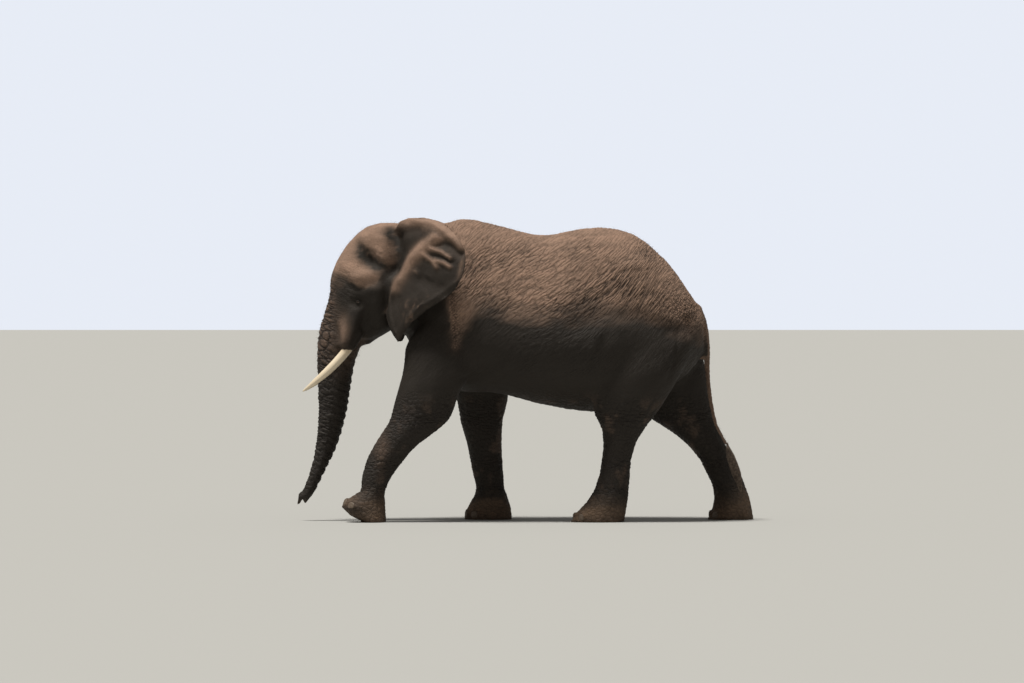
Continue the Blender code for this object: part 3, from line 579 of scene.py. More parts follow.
# Painted shade in the hollows of the head: path, width, share.
HEAD_SHADE = [
    ([(-1.71, 2.79), (-1.64, 2.72), (-1.56, 2.66)], 0.055, 0.85),
    ([(-1.64, 2.67), (-1.55, 2.59), (-1.45, 2.53)], 0.080, 1.10),
    ([(-1.36, 2.86), (-1.29, 2.76), (-1.26, 2.64), (-1.31, 2.52), (-1.37, 2.42)], 0.080, 1.00),
    ([(-1.37, 2.45), (-1.375, 2.20), (-1.35, 1.98)], 0.026, 1.00),
    ([(-1.87, 2.42), (-1.79, 2.41)], 0.035, 0.70),
]
# Where the ears get dust and painted highlight: their rolled top and the ridge across them.
EAR_DUST_AND_HIGHLIGHT = [
    ([(-1.30, 3.00), (-0.92, 3.00), (-0.75, 2.87), (-0.62, 2.74)], 0.085),
    ([(-1.31, 2.34), (-1.17, 2.57), (-1.00, 2.73), (-0.86, 2.80)], 0.060),
]


def flesh_mesh(settings):
    """All flesh nodes swollen a little and fused at the grain."""
    joined = bmesh.new()
    for name in [*FLESH, "tusk_left", "tusk_right"]:
        shape = merged_node(name)
        if name.startswith("tusk"):
            keep_root(shape)
        shape.normal_update()
        swell = LIP_SWELL if name.startswith("tusk") else settings.swell
        for vert in shape.verts:
            vert.co += vert.normal * swell
        mesh = mesh_of(shape, "part")
        joined.from_mesh(mesh)
        bpy.data.meshes.remove(mesh)
    body = placed("flesh", mesh_of(joined, "flesh"))
    fuse = body.modifiers.new("fuse", "REMESH")
    fuse.mode = "VOXEL"
    fuse.voxel_size = settings.grain
    applied(body)
    return body


def keep_root(tusk):
    """Cuts a tusk off where the lip lets it out, so that its root fills the lip."""
    cut = bmesh.ops.bisect_plane(
        tusk, geom=[*tusk.verts, *tusk.edges, *tusk.faces],
        plane_co=(0.0, *LIP_EDGE), plane_no=LIP_FACING, clear_outer=True,
    )
    rim = [item for item in cut["geom_cut"] if isinstance(item, bmesh.types.BMEdge)]
    bmesh.ops.contextual_create(tusk, geom=rim)


def drop_crumbs(mesh):
    """Keeps the largest connected part: labels sink to the lowest linked index."""
    first, second = links_of(mesh)
    label = np.arange(len(mesh.vertices))
    while True:
        low = np.minimum(label[first], label[second])
        sunk = label.copy()
        np.minimum.at(sunk, label[first], low)
        np.minimum.at(sunk, label[second], low)
        sunk = sunk[sunk]
        if (sunk == label).all():
            break
        label = sunk
    main = np.bincount(label).argmax()
    if (label == main).all():
        return
    shape = shape_of(mesh)
    crumbs = [shape.verts[int(i)] for i in np.flatnonzero(label != main)]
    bmesh.ops.delete(shape, geom=crumbs, context="VERTS")
    shape.to_mesh(mesh)
    shape.free()


def eased(points, links, passes, share):
    """Each point moves by its share towards the mean of its neighbours, pass after pass."""
    first, second = links
    count = len(points)
    degree = np.bincount(first, minlength=count) + np.bincount(second, minlength=count)
    degree = np.maximum(degree, 1)[:, None]
    points = points.astype(np.float64)
    for _ in range(passes):
        total = np.stack(
            [
                np.bincount(first, points[second, k], count)
                + np.bincount(second, points[first, k], count)
                for k in range(3)
            ],
            axis=1,
        )
        points += share[:, None] * (total / degree - points)
    return points


def ear_share(points):
    """How much each point belongs to an ear, from 0 to 1: by whether the ear's solid or the
    rest of the flesh is nearer."""
    share = np.zeros(len(points), np.float32)
    rest = tree_of("head", "neck", "torso", "lower_jaw")
    for side in SIDES:
        name = "ear_" + side
        tree = tree_of(name)
        low, high = (np.array(corner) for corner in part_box(name))
        for index in in_box(points, low, high, 0.02):
            point = Vector(points[index])
            to_ear = tree.find_nearest(point)[3]
            to_rest = rest.find_nearest(point)[3]
            share[index] = min(max((to_rest - to_ear) / 0.05 + 0.1, 0.0), 1.0)
    return share


def smooth_flesh(mesh, ears):
    """Takes out the facets: a smoothing, and the smoothed rest of what it took away. Thin
    parts get less of it, and the ears only move square to their own sheet."""
    points, links = points_of(mesh), links_of(mesh)
    x, y, z = points.T
    share = np.full(len(points), EASING, np.float32)
    for less, along, high in HELD_BACK.values():
        share *= 1 - less * ramp(y, *along) * ramp(z, *high)
    tail = ramp(y, 1.66, 1.72) * (np.abs(x) < 0.10)
    share *= 1 - 0.85 * tail
    share = np.maximum(share, EASING * (ears > 0.5))
    loose = np.max([tail, ramp(z, 0.50, 0.40), (ears > 0.3)], axis=0)
    long = twice_eased(points, links, 60, share, 0.005 + 0.05 * loose)
    short = twice_eased(points, links, 20, share, 0.02)
    sheet = ear_sheet(points)
    away = ((long - short) * sheet).sum(axis=1, keepdims=True) * sheet
    ears = ears[:, None]
    place_points(mesh, long + ears * (short + away - long))


def twice_eased(points, links, passes, share, limit):
    """An easing, and the eased rest of what it took away, of which more than the limit
    counts as a fault in the surface and is left out."""
    once = eased(points, links, passes, share)
    rest = points - once
    size = np.linalg.norm(rest, axis=1)
    rest *= np.minimum(1.0, limit / np.maximum(size, 1e-9))[:, None]
    return once + eased(rest, links, passes, share)


def ear_sheet(points):
    """The direction square to the ears' sheets."""
    ones = np.ones(len(points), np.float32)
    return np.stack([EAR_OUT * np.sign(points[:, 0]), EAR_AHEAD * ones, 0 * ones], axis=1)


def trunk_axis():
    """The polynomial of the trunk's middle over height."""
    names = [name for name in FLESH if name.startswith("trunk")]
    points = np.vstack([points_of(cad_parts[name].data) for name in names])
    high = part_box("trunk_middle")[1].z
    points = points[points[:, 2] < high + 0.3]
    return np.polyfit(points[:, 2], points[:, 1], 4)


class Fields:
    """What is known of each point of the skin: place, normal and how much it belongs to
    each region, from 0 to 1. The numbers are where regions give way to each other in x, y
    and z."""

    def __init__(self, points, normals, ears):
        self.points, self.normals, self.ears = points, normals, ears
        x, y, z = points.T
        self.side = points[:, 1:]
        self.out = np.abs(x)
        self.off_middle = ramp(self.out, 0.08, 0.20)
        self.head = ramp(y, -1.18, -1.34) * ramp(z, 1.62, 1.74) * (1 - ears)
        # The trunk: below and before the face, but not the lips beside the tusks' roots, the
        # jaw or the forelegs. It reaches up the middle of the face as well.
        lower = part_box("trunk_upper")[1].z
        self.trunk = ramp(z, lower + 0.65, lower + 0.05) * ramp(y, -1.50, -1.62)
        self.trunk *= 1 - ramp(self.out, 0.17, 0.24) * ramp(z, lower - 0.1, lower)
        self.trunk *= ramp(y, -1.50, -1.74) * (z > 1.72) + (z <= 1.72)
        ahead = ramp(y + 0.50 * (1.0 - z) * (z < 1.0), -1.45, -1.55)  # of the forelegs
        self.trunk *= ahead * (1 - ears)
        front = ramp(y, -1.87, -1.96) * ramp(z, 2.50, 2.28) * (z > 1.6)
        self.trunk = np.maximum(self.trunk, front)
        # The tail, which widens a little to its root, and the legs.
        wide = 0.034 + 0.028 * ramp(z, 1.75, 2.00)
        self.tail = ramp(y, 1.70, 1.76) * (1 - ramp(self.out, wide, wide + 0.018)) * (z > 0.5)
        self.legs = ramp(z, 1.55, 1.15) * (1 - ahead) * (1 - self.tail)
        # The wrinkled rump round the tail's root, and all the rest.
        self.rump = bell(self.side, (1.60, 2.13), (0.20, 0.20)) * (1 - self.tail)
        self.body = (1 - self.head) * (1 - ears) * (1 - self.legs) * (1 - self.tail)
        self.body *= 1 - self.trunk


def crease_lines(fields):
    """Coordinates of the flank's creases: across them, along them and through the body.
    Each line rises to the rear, at a slope that changes along the body."""
    points, y = fields.points, fields.points[:, 1]
    fine = np.linspace(-1.6, 2.4, 201)
    rise = np.cumsum(np.interp(fine, *zip(*CREASE_SLOPES))) * (fine[1] - fine[0])
    across = points[:, 2] - np.interp(y, fine, rise)
    across = across + 0.020 * clouds(points, 0.22, 11) + 0.008 * clouds(points, 0.08, 12)
    return np.stack([across, y, fields.out], axis=1).astype(np.float32)


def trunk_lines(fields):
    """Coordinates of the trunk's rings: sideways, front to back and along the trunk, which
    is height corrected by the slope of the trunk's middle."""
    middle = trunk_axis()
    x, y, z = fields.points.T
    high = np.clip(z, 0.2, 1.9)
    slope = np.clip(np.polyval(np.polyder(middle), high), -0.6, 0.35)
    behind = y - np.polyval(middle, high)
    along = z + slope * behind + 0.006 * clouds(fields.points, 0.07, 51)
    return np.stack([x, behind, along], axis=1).astype(np.float32)


def crease_pattern(fields, crease):
    """Three layers of creases, each as a place in cells and a depth."""
    return {**crease_places(fields), "depths": crease_depths(fields, crease)}


def crease_places(fields):
    """Places in cells, for long rows, for the short creases that cross them and for fine
    cells all over. The added numbers keep the layers' borders apart."""
    on_legs = fields.legs > ON_PART
    on_face = (fields.trunk > ON_PART) | (fields.head > ON_HEAD)
    lines, rings, points = crease_lines(fields), trunk_lines(fields), fields.points
    rows = lines / ROW_CELL
    rows[on_legs] = points[on_legs] / LEG_CELL + 7.3
    rows[on_face] = rings[on_face] / RING_CELL + 3.9
    weft = lines / WEFT_CELL + 31.7
    weft[on_legs | on_face] = points[on_legs | on_face] / NET_CELL + 53.1
    swayed = points + 0.006 * np.stack([clouds(points, 0.05, 40 + k) for k in range(3)], 1)
    return {"rows": rows, "weft": weft, "cells": swayed / FINE_CELL + 71.9}


def flank_share(fields):
    """How deep the flank's creases are, as a share: deeper above the line of wet hide and
    painted shade and in the places listed, shallower along the spine, before the shoulder and
    on the rump."""
    side, z = fields.side, fields.points[:, 2]
    damp_and_shade = height_of(DAMP_AND_SHADE_LINE, side[:, 0])
    flank = 0.44 + 0.30 * ramp(z, damp_and_shade - 0.20, damp_and_shade + 0.10)
    for more, centre, reach in DEEP_CREASES.values():
        flank += more * bell(side, centre, reach)
    flank *= 1 - 0.30 * ramp(z, 2.66, 2.84)
    flank *= 1 - 0.5 * bell(side, (-0.92, 1.95), (0.20, 0.40))
    flank *= (0.8 + 0.35 * clouds(fields.points, 0.30, 21)) * (1 - 0.7 * fields.rump)
    return flank


def crease_depths(fields, crease):
    """Depths of the rows, the weft and the cells: the sum of what each region asks for."""
    side, z, trunk, head = fields.side, fields.points[:, 2], fields.trunk, fields.head
    body = np.clip(2 * fields.body - 1, 0, 1) * (1 - ramp(head, 0.05, 0.30)) * crease
    legs = np.clip(2 * fields.legs - 1, 0, 1)
    flank = flank_share(fields)
    folds = [hump(z, middle, reach) for middle, reach in LEG_FOLDS]
    front = 0.30 + 0.70 * ramp(fields.normals[:, 1], 0.2, -0.6)
    front *= 1 - 0.65 * ramp(z, 0.9, 0.2)
    rows = flank * body + JOINT_ROWS * np.max(folds, axis=0) * legs + TRUNK_ROWS * front * trunk
    rows += BROW_ROWS * ramp(side[:, 0], -1.88, -1.95) * ramp(z, 2.45, 2.30) * trunk
    rows += BROW_ROWS * (bell(side, (-1.78, 2.36), (0.16, 0.24)) * head) * (1 - trunk)
    weft = (0.70 - 0.30 * bell(side, (1.02, 2.28), (0.42, 0.30))) * flank * body
    weft += LEG_WEFT * legs + TRUNK_WEFT * trunk * (0.4 + 0.6 * ramp(z, 0.4, 1.2))
    cells = HEAD_CELLS * head + 1.15 * crease * fields.rump * fields.body
    cells += crease * 0.8 * rough_band(fields) * fields.body
    cells += TAIL_CELLS * fields.tail + EAR_CELLS * fields.ears + ALL_CELLS
    tip = trunk * ramp(z, 0.34, 0.22)
    depths = [rows * (1 - 0.65 * tip), weft * (1 - 0.4 * tip), cells]
    return np.stack(depths, axis=1).astype(np.float32)


def rough_band(fields):
    """The rough upright band of skin behind the shoulder."""
    return stroke(fields.side, [(-0.73, 2.30), (-0.70, 1.95), (-0.70, 1.74)], 0.050)


def crease_relief(pattern):
    """Nothing inside a pad and the full depth in a crease, summed over the layers."""
    layers = [1 - pads(pattern[name]) for name in LAYERS]
    return -(np.stack(layers, axis=1) * pattern["depths"]).sum(axis=1)


def trunk_scallops(fields):
    """Deep waves down the back of the trunk: 1 less the root of a raised cosine of the way
    along it, so that the crests are round and the grooves between them narrow."""
    along = trunk_lines(fields)[:, 2]
    behind = ramp(fields.normals[:, 1], -0.2, 0.6) * ramp(fields.points[:, 2], 1.75, 1.55)
    turns = 0.5 - 0.5 * np.cos(math.tau * along / SCALLOP_LENGTH)
    behind *= 0.30 + 0.70 * ramp(fields.points[:, 2], 0.20, 0.45)
    return -SCALLOP_DEPTH * (1 - np.sqrt(turns)) * behind * fields.trunk


def skin_tone(fields):
    """Shares of dust, of shade and of reddish soil on each point. Dust lies on top and on
    ridges, and on the ears' ridges it comes with painted highlight. The shade share is wet
    hide with painted shade on all that is low, painted shade in the hollows and under the
    brow, and painted shade that partly darkens the ears."""
    points, ears = fields.points, fields.ears
    y, z = fields.side.T
    patches = clouds(points, (0.35, 0.60, 0.22), 101)
    patches += 0.5 * clouds(points, (0.10, 0.30, 0.06), 102)
    high = z - height_of(DAMP_AND_SHADE_LINE, y) + 0.09 * patches
    high += 0.05 * clouds(points, (0.10, 0.16, 0.05), 107)
    under = z - height_of(BROW_LINE, y) + 0.03 * patches
    sheet = strokes_relief(fields, EAR_STROKES) * ears
    hollow = painted_hollow_shade(fields, sheet)
    dust = body_dust(fields, patches, high, under)
    dust += ears * (ear_dust_and_highlight(fields, sheet) - dust)
    # Painted shade in the hollows takes the dust away there.
    dust *= 1 - np.clip(1.1 * hollow, 0, 1)
    # Wet hide with painted shade below the line, on the legs and on the low trunk.
    damp_and_shade = ramp(high, 0.06, -0.22) * fields.body + fields.legs + fields.trunk * ramp(z, 2.0, 1.7)
    # Painted shade under the brow.
    shade_under_brow = 0.92 * ramp(under, 0.03, -0.03) * fields.head
    # The ears are laid darker, partly as painted shade.
    shade = np.max([damp_and_shade, shade_under_brow, 0.85 * ears, hollow], axis=0)
    shade *= 1 - 0.4 * ramp(z - 0.10 * patches, 0.30, 0.02)
    soil = ramp(z - 0.10 * patches, 0.60, 0.10)
    return np.clip(np.stack([dust, shade, soil], axis=1), 0.0, 1.0).astype(np.float32)


def body_dust(fields, patches, high, under):
    """Dust of all but the ears: the most of what height and slope and each region give."""
    points, side, trunk = fields.points, fields.side, fields.trunk
    z, upward = points[:, 2], fields.normals[:, 2]
    mud = clouds(points, (0.12, 0.12, 0.24), 105) + 0.6 * clouds(points, 0.05, 106)
    toes = 0.52 + 0.60 * ramp(upward, -0.15, 0.55)
    dust = ramp(upward + 0.12 * patches, -0.10, 0.75) * ramp(high, -0.05, 0.30)
    dust = np.maximum(dust, ramp(high, -0.10, 0.20) * fields.body)
    dust *= 1 - 0.75 * bell(side, (-0.38, 2.10), (0.14, 0.14))
    places = {
        "all": dust,
        "rough band": 0.55 * rough_band(fields) * (0.6 + 0.6 * clouds(points, 0.05, 104)),
        "forehead": ramp(under, -0.02, 0.05) * fields.head,
        "tusk sheath": 0.60 * bell(side, (-1.83, 1.90), (0.07, 0.14)) * fields.off_middle,
        "upper trunk": 0.45 * trunk * ramp(z, 1.3, 2.0),
        "legs": 0.20 * ramp(mud, 0.10, 0.80) * fields.legs * ramp(z, 1.35, 1.0),
        "forward knee": 0.34 * bell(side, (-1.44, 0.74), (0.07, 0.18)) * (0.8 + 0.5 * mud),
        "feet": 0.95 * ramp(z - 0.12 * patches, 0.32, 0.06) * toes,
        "tail": 0.55 * fields.tail * ramp(z, 2.05, 1.90),
    }
    return np.max(list(places.values()), axis=0)


def ear_dust_and_highlight(fields, sheet):
    """Dust and painted highlight on the ears' rolls and ridges, and a few flecks of dust below."""
    side = fields.side
    rolls = np.max([stroke(side, path, width) for path, width in EAR_DUST_AND_HIGHLIGHT], axis=0)
    rolls = np.maximum(rolls, np.clip(sheet / 0.020, 0, 1) * ramp(side[:, 1], 2.35, 2.50))
    flecks = 0.5 * ramp(clouds(fields.points, 0.035, 108), 0.25, 0.8)
    return np.maximum(rolls, flecks * bell(side, (-1.06, 2.12), (0.13, 0.17)))


def painted_hollow_shade(fields, sheet):
    """How much painted shade each point gets in a hollow: by the depth of the strokes, by the
    listed hollows of the head, and close to the eyes."""
    face = strokes_relief(fields, HEAD_STROKES) * fields.head * fields.off_middle
    hollow = 0.60 * np.clip(-face / 0.030, 0, 1) + np.clip(-sheet / 0.032, 0, 1)
    strokes = [part * stroke(fields.side, path, width) for path, width, part in HEAD_SHADE]
    dark = np.max(strokes, axis=0) * (1 + 0.30 * clouds(fields.points, 0.030, 103))
    dark = dark * ramp(fields.points[:, 2], 2.97, 2.90) * ramp(fields.out, 0.12, 0.20)
    return np.max([hollow, dark, eye_share(fields.points, 0.030, 0.060)], axis=0)


def eye_share(points, near, far):
    """1 where either eye's middle is near, falling to 0 where both are far."""
    eyes = [np.linalg.norm(points - middle_of("eye_" + side), axis=1) for side in SIDES]
    return 1 - ramp(np.min(eyes, axis=0), near, far)


def strokes_relief(fields, strokes):
    height = np.zeros(len(fields.points), np.float32)
    for path, width, rise in strokes.values():
        height += rise * stroke(fields.side, path, width)
    return height


def eye_axes(side):
    """The eyeball's middle, and its axes: outwards, along the slit, which falls to the rear,
    and square to both."""
    eye = middle_of("eye_" + side)
    head = merged_node("head")
    out = np.zeros(3)
    for face in head.faces:
        away = np.linalg.norm(np.array(face.calc_center_median()) - eye)
        if 0.022 < away < 0.11:
            out += np.array(face.normal) * face.calc_area()
    head.free()
    out /= np.linalg.norm(out)
    ahead = np.array((0.0, -math.cos(SLIT_TILT), math.sin(SLIT_TILT)))
    ahead -= out * (ahead @ out)
    ahead /= np.linalg.norm(ahead)
    up = np.cross(out, ahead)
    return eye, out, ahead, up * np.sign(up[2])


def slit_distance(a, b):
    """Distance outside an almond: the greater of those from its two arcs, below zero inside."""
    away = []
    for height, way in ((SLIT_UPPER, 1), (SLIT_LOWER, -1)):
        radius = (SLIT_HALF**2 + height**2) / (2 * height)
        away.append(np.hypot(a, b + way * (radius - height)) - radius)
    return np.maximum(*away)


def shape_lids(points):
    """Domes the lids over each eyeball, opens the slit and lays folds round it. Heights are
    measured from the eyeball's middle along its outward axis."""
    for side in SIDES:
        eye, out, ahead, up = eye_axes(side)
        near = within(points, eye, 0.11)
        away = points[near] - eye
        a, b, height = away @ ahead, away @ up, away @ out
        radius = np.hypot(a, b)
        lid = np.where(b > 0, UPPER_LID, LOWER_LID)
        dome = np.sqrt(np.maximum((EYEBALL + lid) ** 2 - radius**2, 0))
        raised = (height + dome + np.sqrt((height - dome) ** 2 + 0.003**2)) / 2
        made = height + (raised - height) * (1 - ramp(radius, LID_EDGE, LID_SIDE))
        slit = slit_distance(a, b)
        made += LID_RIM * hump(slit, 0.0035, 0.0030)
        above = ramp(b + 0.3 * np.abs(a), -0.004, 0.012) * ramp(radius, 0.095, 0.06)
        for line, depth in LID_FOLDS:
            made -= depth * hump(slit, line, 0.0034) * (0.35 + 0.65 * above)
            made += 0.5 * depth * hump(slit - line, 0.0065, 0.0045) * above
        made += (SLIT_FLOOR - made) * ramp(slit, 0.0, -0.0028)
        points[near] += ((made - height) * (1 - ramp(radius, 0.08, 0.105)))[:, None] * out


def ear_shift(fields):
    """How far the ears' sheets move outwards: broad folds, crumples and soft waves."""
    shift = strokes_relief(fields, EAR_STROKES)
    shift += 0.008 * clouds(fields.points, 0.20, 91) + 0.004 * clouds(fields.points, 0.06, 92)
    return shift * ramp(fields.ears, 0.2, 0.9)


def fit_lips(points):
    """Keeps the skin of each lip a little outside the tusk that comes out of it."""
    for side in SIDES:
        middle, radius, end = tusk_curve("tusk_" + side)
        share = np.linspace(0.0, end, 160)
        path = on_curve(middle, share)
        near = in_box(points, path.min(axis=0), path.max(axis=0), 0.07)
        away = points[near][:, None] - path[None]
        size = np.linalg.norm(away, axis=2)
        nearest = size.argmin(axis=1)
        away, size = away[np.arange(len(near)), nearest], size.min(axis=1)
        depth = (LIP_EDGE - points[near, 1:]) @ np.array(LIP_FACING[1:])
        short = np.maximum(np.polyval(radius, share[nearest]) + LIP_ROOM - size, 0.0)
        short *= ramp(depth, 0.0, 0.02) / np.maximum(size, 0.01)
        points[near] += away * short[:, None]


def melt_roots(mesh, points):
    """Eases away the creases between ear and head and across the nape, lays the valley
    before the ear, raises its top and parts the lips of the trunk's tip."""
    side, out = points[:, 1:], np.abs(points[:, 0])
    nape = stroke(side, NAPE, 0.075) * ramp(out, 0.38, 0.28)
    places = [
        stroke(side, MELTED, 0.055) * ramp(out, 0.16, 0.24),
        np.minimum(1.3 * nape, 1.0),
        *(0.15 * bell(points, tip, (0.02,) * 3) for tip in FINGER_TIPS),
    ]
    share = np.max(places, axis=0) * EASING
    near = share > 0.02
    links = links_of(mesh)
    points[:] = eased(points, links[:, near[links].any(axis=0)], 40, share * near)
    strokes = ROOT_STROKES.values()
    shift = sum(rise * stroke(side, path, width) for path, width, rise in strokes)
    points += ear_sheet(points) * (shift * ramp(out, 0.10, 0.22))[:, None]
    rise = stroke(side, EAR_TOP, 0.05) * ramp(out, 0.12, 0.25)
    points[:, 2] += 0.022 * rise + 0.034 * stroke(side, FINGER_SLOT, 0.013)


def seat_nails(points):
    """Sinks the skin under each nail and raises a soft rim round it."""
    for name in NAILS:
        middle, axes, half = nail_axes(name)
        near = within(points, middle, 0.12)
        width, depth, height = ((points[near] - middle) @ axes.T).T
        q = np.sqrt((width / half[0]) ** 2 + (height / half[2]) ** 2)
        rim = hump(q, 1.10, 0.28) * (depth > -2.0 * half[1])
        lift = np.maximum(NAIL_RIM * half[1] - depth, 0.0) * rim
        sunk = np.maximum(depth + 0.5 * half[1], 0.0) * ramp(q, 0.95, 0.70)
        points[near] += axes[1] * (lift - sunk)[:, None]


def trim_ears(points, ears):
    """Narrows the ears' lobes towards their front edge and bites the nicks out of their
    rear margin. Points slide along the sheet."""
    x, y, z = points.T
    heights, fronts, shares = zip(*LOBE)
    front = np.interp(z, heights, fronts)
    slide = (y - front) * (np.interp(z, heights, shares) - 1) * ears
    slide *= y > front
    y += slide
    x += EAR_SPREAD * slide * np.sign(x)
    for centre, reach, depth in EAR_NICKS:
        pull = depth * stroke(points[:, 1:], [centre, (centre[0] + 0.001, centre[1])], reach)
        y -= pull * ears * 0.7
        z += pull * ears * 0.7


def forms(fields):
    """Rises and hollows larger than a crease."""
    height = strokes_relief(fields, HEAD_STROKES) * fields.head * fields.off_middle
    rough = bell(fields.side, (-1.54, 2.68), (0.14, 0.14)) * fields.head * fields.off_middle
    height += 0.006 * clouds(fields.points, 0.035, 93) * rough
    height += 0.008 * fields.head * ramp(fields.points[:, 2], 2.25, 2.45)
    height += strokes_relief(fields, BODY_STROKES) * fields.body * fields.off_middle
    return height + trunk_scallops(fields)


def refine_eyes(mesh):
    """Divides the faces round each eye so that the lids have points enough."""
    shape = shape_of(mesh)
    for reach in LID_REACHES:
        for side in SIDES:
            eye = Vector(middle_of("eye_" + side))
            edges = [
                edge
                for edge in shape.edges
                if (edge.verts[0].co - eye).length < reach
                and (edge.verts[1].co - eye).length < reach
            ]
            bmesh.ops.subdivide_edges(shape, edges=edges, cuts=1, use_grid_fill=True)
    bmesh.ops.triangulate(shape, faces=[face for face in shape.faces if len(face.verts) > 4])
    shape.to_mesh(mesh)
    shape.free()


def thin_skin(body, settings):
    """Collapses edges down to the wanted triangles, sparing the head, the trunk's tip and
    most of all the lids."""
    points = points_of(body.data)
    spared = [
        0.45 * ramp(points[:, 1], -1.25, -1.45) * ramp(points[:, 2], 1.6, 1.8),
        0.8 * bell(points, TRUNK_TIP, (0.08,) * 3),
        *(0.9 * bell(points, middle_of("eye_" + side), (0.07,) * 3) for side in SIDES),
    ]
    group = body.vertex_groups.new(name="thin")
    levels = np.round(np.max(spared, axis=0) * LEVELS).astype(int)
    for level in np.unique(levels):
        group.add(np.flatnonzero(levels == level).tolist(), 1 - level / LEVELS, "REPLACE")
    body.data.calc_loop_triangles()
    thin = body.modifiers.new("thin", "DECIMATE")
    thin.ratio = settings.triangles / len(body.data.loop_triangles)
    thin.vertex_group = group.name
    thin.vertex_group_factor = 1e-4
    applied(body)
    body.vertex_groups.clear()


def hang_tail(points, fields):
    """Lets the bare tail hang closer to the leg before it."""
    _, y, z = points.T
    y -= TAIL_SHIFT * fields.tail * ramp(z, 1.75, 1.45) * ramp(z, 0.70, 0.95)


def stand_on_floor(points, normals):
    """Sets the soles on the floor and keeps all else above it."""
    sole = (points[:, 2] < 0.014) & (normals[:, 2] < -0.5)
    points[sole, 2] = 0.0
    points[:, 2] = np.maximum(points[:, 2], 0.0)


class ELEPHANT_OT_skin(bpy.types.Operator):
    """Makes the one wrinkled skin that stands for all the flesh"""

    bl_idname = "elephant.skin"
    bl_label = "Skin"

    def execute(self, context):
        settings = context.scene.elephant_skin
        body = flesh_mesh(settings)
        mesh = body.data
        drop_crumbs(mesh)
        smooth_flesh(mesh, ear_share(points_of(mesh)))
        refine_eyes(mesh)
        points, normals = points_of(mesh), normals_of(mesh)
        fields = Fields(points, normals, ear_share(points))
        points = points + normals * (forms(fields) - settings.swell - settings.depth)[:, None]
        points += ear_sheet(points) * ear_shift(fields)[:, None]
        trim_ears(points, ramp(fields.ears, 0.03, 0.25))
        melt_roots(mesh, points)
        fit_lips(points)
        shape_lids(points)
        seat_nails(points)
        hang_tail(points, fields)
        place_points(mesh, points)
        pattern = crease_pattern(fields, settings.crease)
        pattern["depths"] *= (1 - eye_share(points, 0.030, 0.075))[:, None]
        normals = normals_of(mesh)
        points = points + normals * crease_relief(pattern)[:, None]
        stand_on_floor(points, normals)
        place_points(mesh, points)
        for name, values in pattern.items():
            keep_values(mesh, name, values)
        keep_values(mesh, "tone", skin_tone(fields))
        thin_skin(body, settings)
        mesh = body.data
        mesh.calc_loop_triangles()
        mesh.shade_smooth()
        mesh.name = "skin"
        bpy.data.objects.remove(body)
        mesh.materials.clear()
        add_piece("skin", mesh, skin_material(settings), "skin", *FLESH)
        return {"FINISHED"}


# ---- Materials ----------------------------------------------------------------------


class Nodes:
    """A material's shader nodes, with short ways to add the common ones."""

    def __init__(self, name):
        self.material = bpy.data.materials.new(name)
        self.material.use_nodes = True
        self.tree = self.material.node_tree
        self.shader = self.tree.nodes["Principled BSDF"]

    def add(self, kind, inputs=None, **settings):
        node = self.tree.nodes.new("ShaderNode" + kind)
        for name, value in settings.items():
            setattr(node, name, value)
        for name, value in (inputs or {}).items():
            self.put(value, node.inputs[name])
        return node

    def put(self, value, socket):
        """Links a socket's output, or sets the number or colour."""
        if isinstance(value, bpy.types.NodeSocket):
            self.tree.links.new(value, socket)
        elif hasattr(value, "__len__") and len(value) == 3 and socket.type == "RGBA":
            socket.default_value = (*value, 1)
        else:
            socket.default_value = value

    def math(self, operation, *values):
        node = self.add("Math", operation=operation)
        for value, socket in zip(values, node.inputs):
            self.put(value, socket)
        return node.outputs[0]

    def times(self, first, second):
        return self.math("MULTIPLY", first, second)

    def plus(self, total, *others):
        for value in others:
            total = self.math("ADD", total, value)
        return total

    def attribute(self, name, output="Vector"):
        return self.add("Attribute", attribute_name=name).outputs[output]

    def parts(self, vector):
        """The three numbers of a vector."""
        return self.add("SeparateXYZ", {"Vector": vector}).outputs

    def ramp(self, value, start, end, low=0.0, high=1.0):
        """From low at the start to high at the end, in a straight line, and level past them."""
        inputs = {"Value": value, "From Min": start, "From Max": end, "To Min": low, "To Max": high}
        return self.add("MapRange", inputs).outputs[0]

    def mix(self, share, first, second, way="MIX"):
        node = self.add("Mix", data_type="RGBA", blend_type=way, clamp_factor=True)
        for index, value in ((0, share), (6, first), (7, second)):
            self.put(value, node.inputs[index])
        return node.outputs[2]

    def noise(self, place, size, detail=3.0):
        inputs = {"Vector": place, "Scale": 1 / size, "Detail": detail}
        return self.add("TexNoise", inputs).outputs[0]

    def borders(self, place, scale=1.0):
        return add_borders(self.tree, place, scale)

    def stretched(self, place, factors):
        """A place times a factor along each axis. A smaller factor draws a pattern out."""
        node = self.add("VectorMath", operation="MULTIPLY")
        self.put(place, node.inputs[0])
        self.put(factors, node.inputs[1])
        return node.outputs[0]

    def here(self):
        """Places in the object's own coordinates."""
        return self.add("TexCoord").outputs["Object"]

    def bump(self, height):
        """Tilts the shading by a height in metres."""
        node = self.add("Bump", {"Strength": 1.0, "Distance": 1.0, "Height": height})
        self.put(node.outputs[0], self.shader.inputs["Normal"])

    def finish(self, inputs):
        """The material, with the shader's colour, roughness and what else is given."""
        for name, value in inputs.items():
            self.put(value, self.shader.inputs[name])
        return self.material


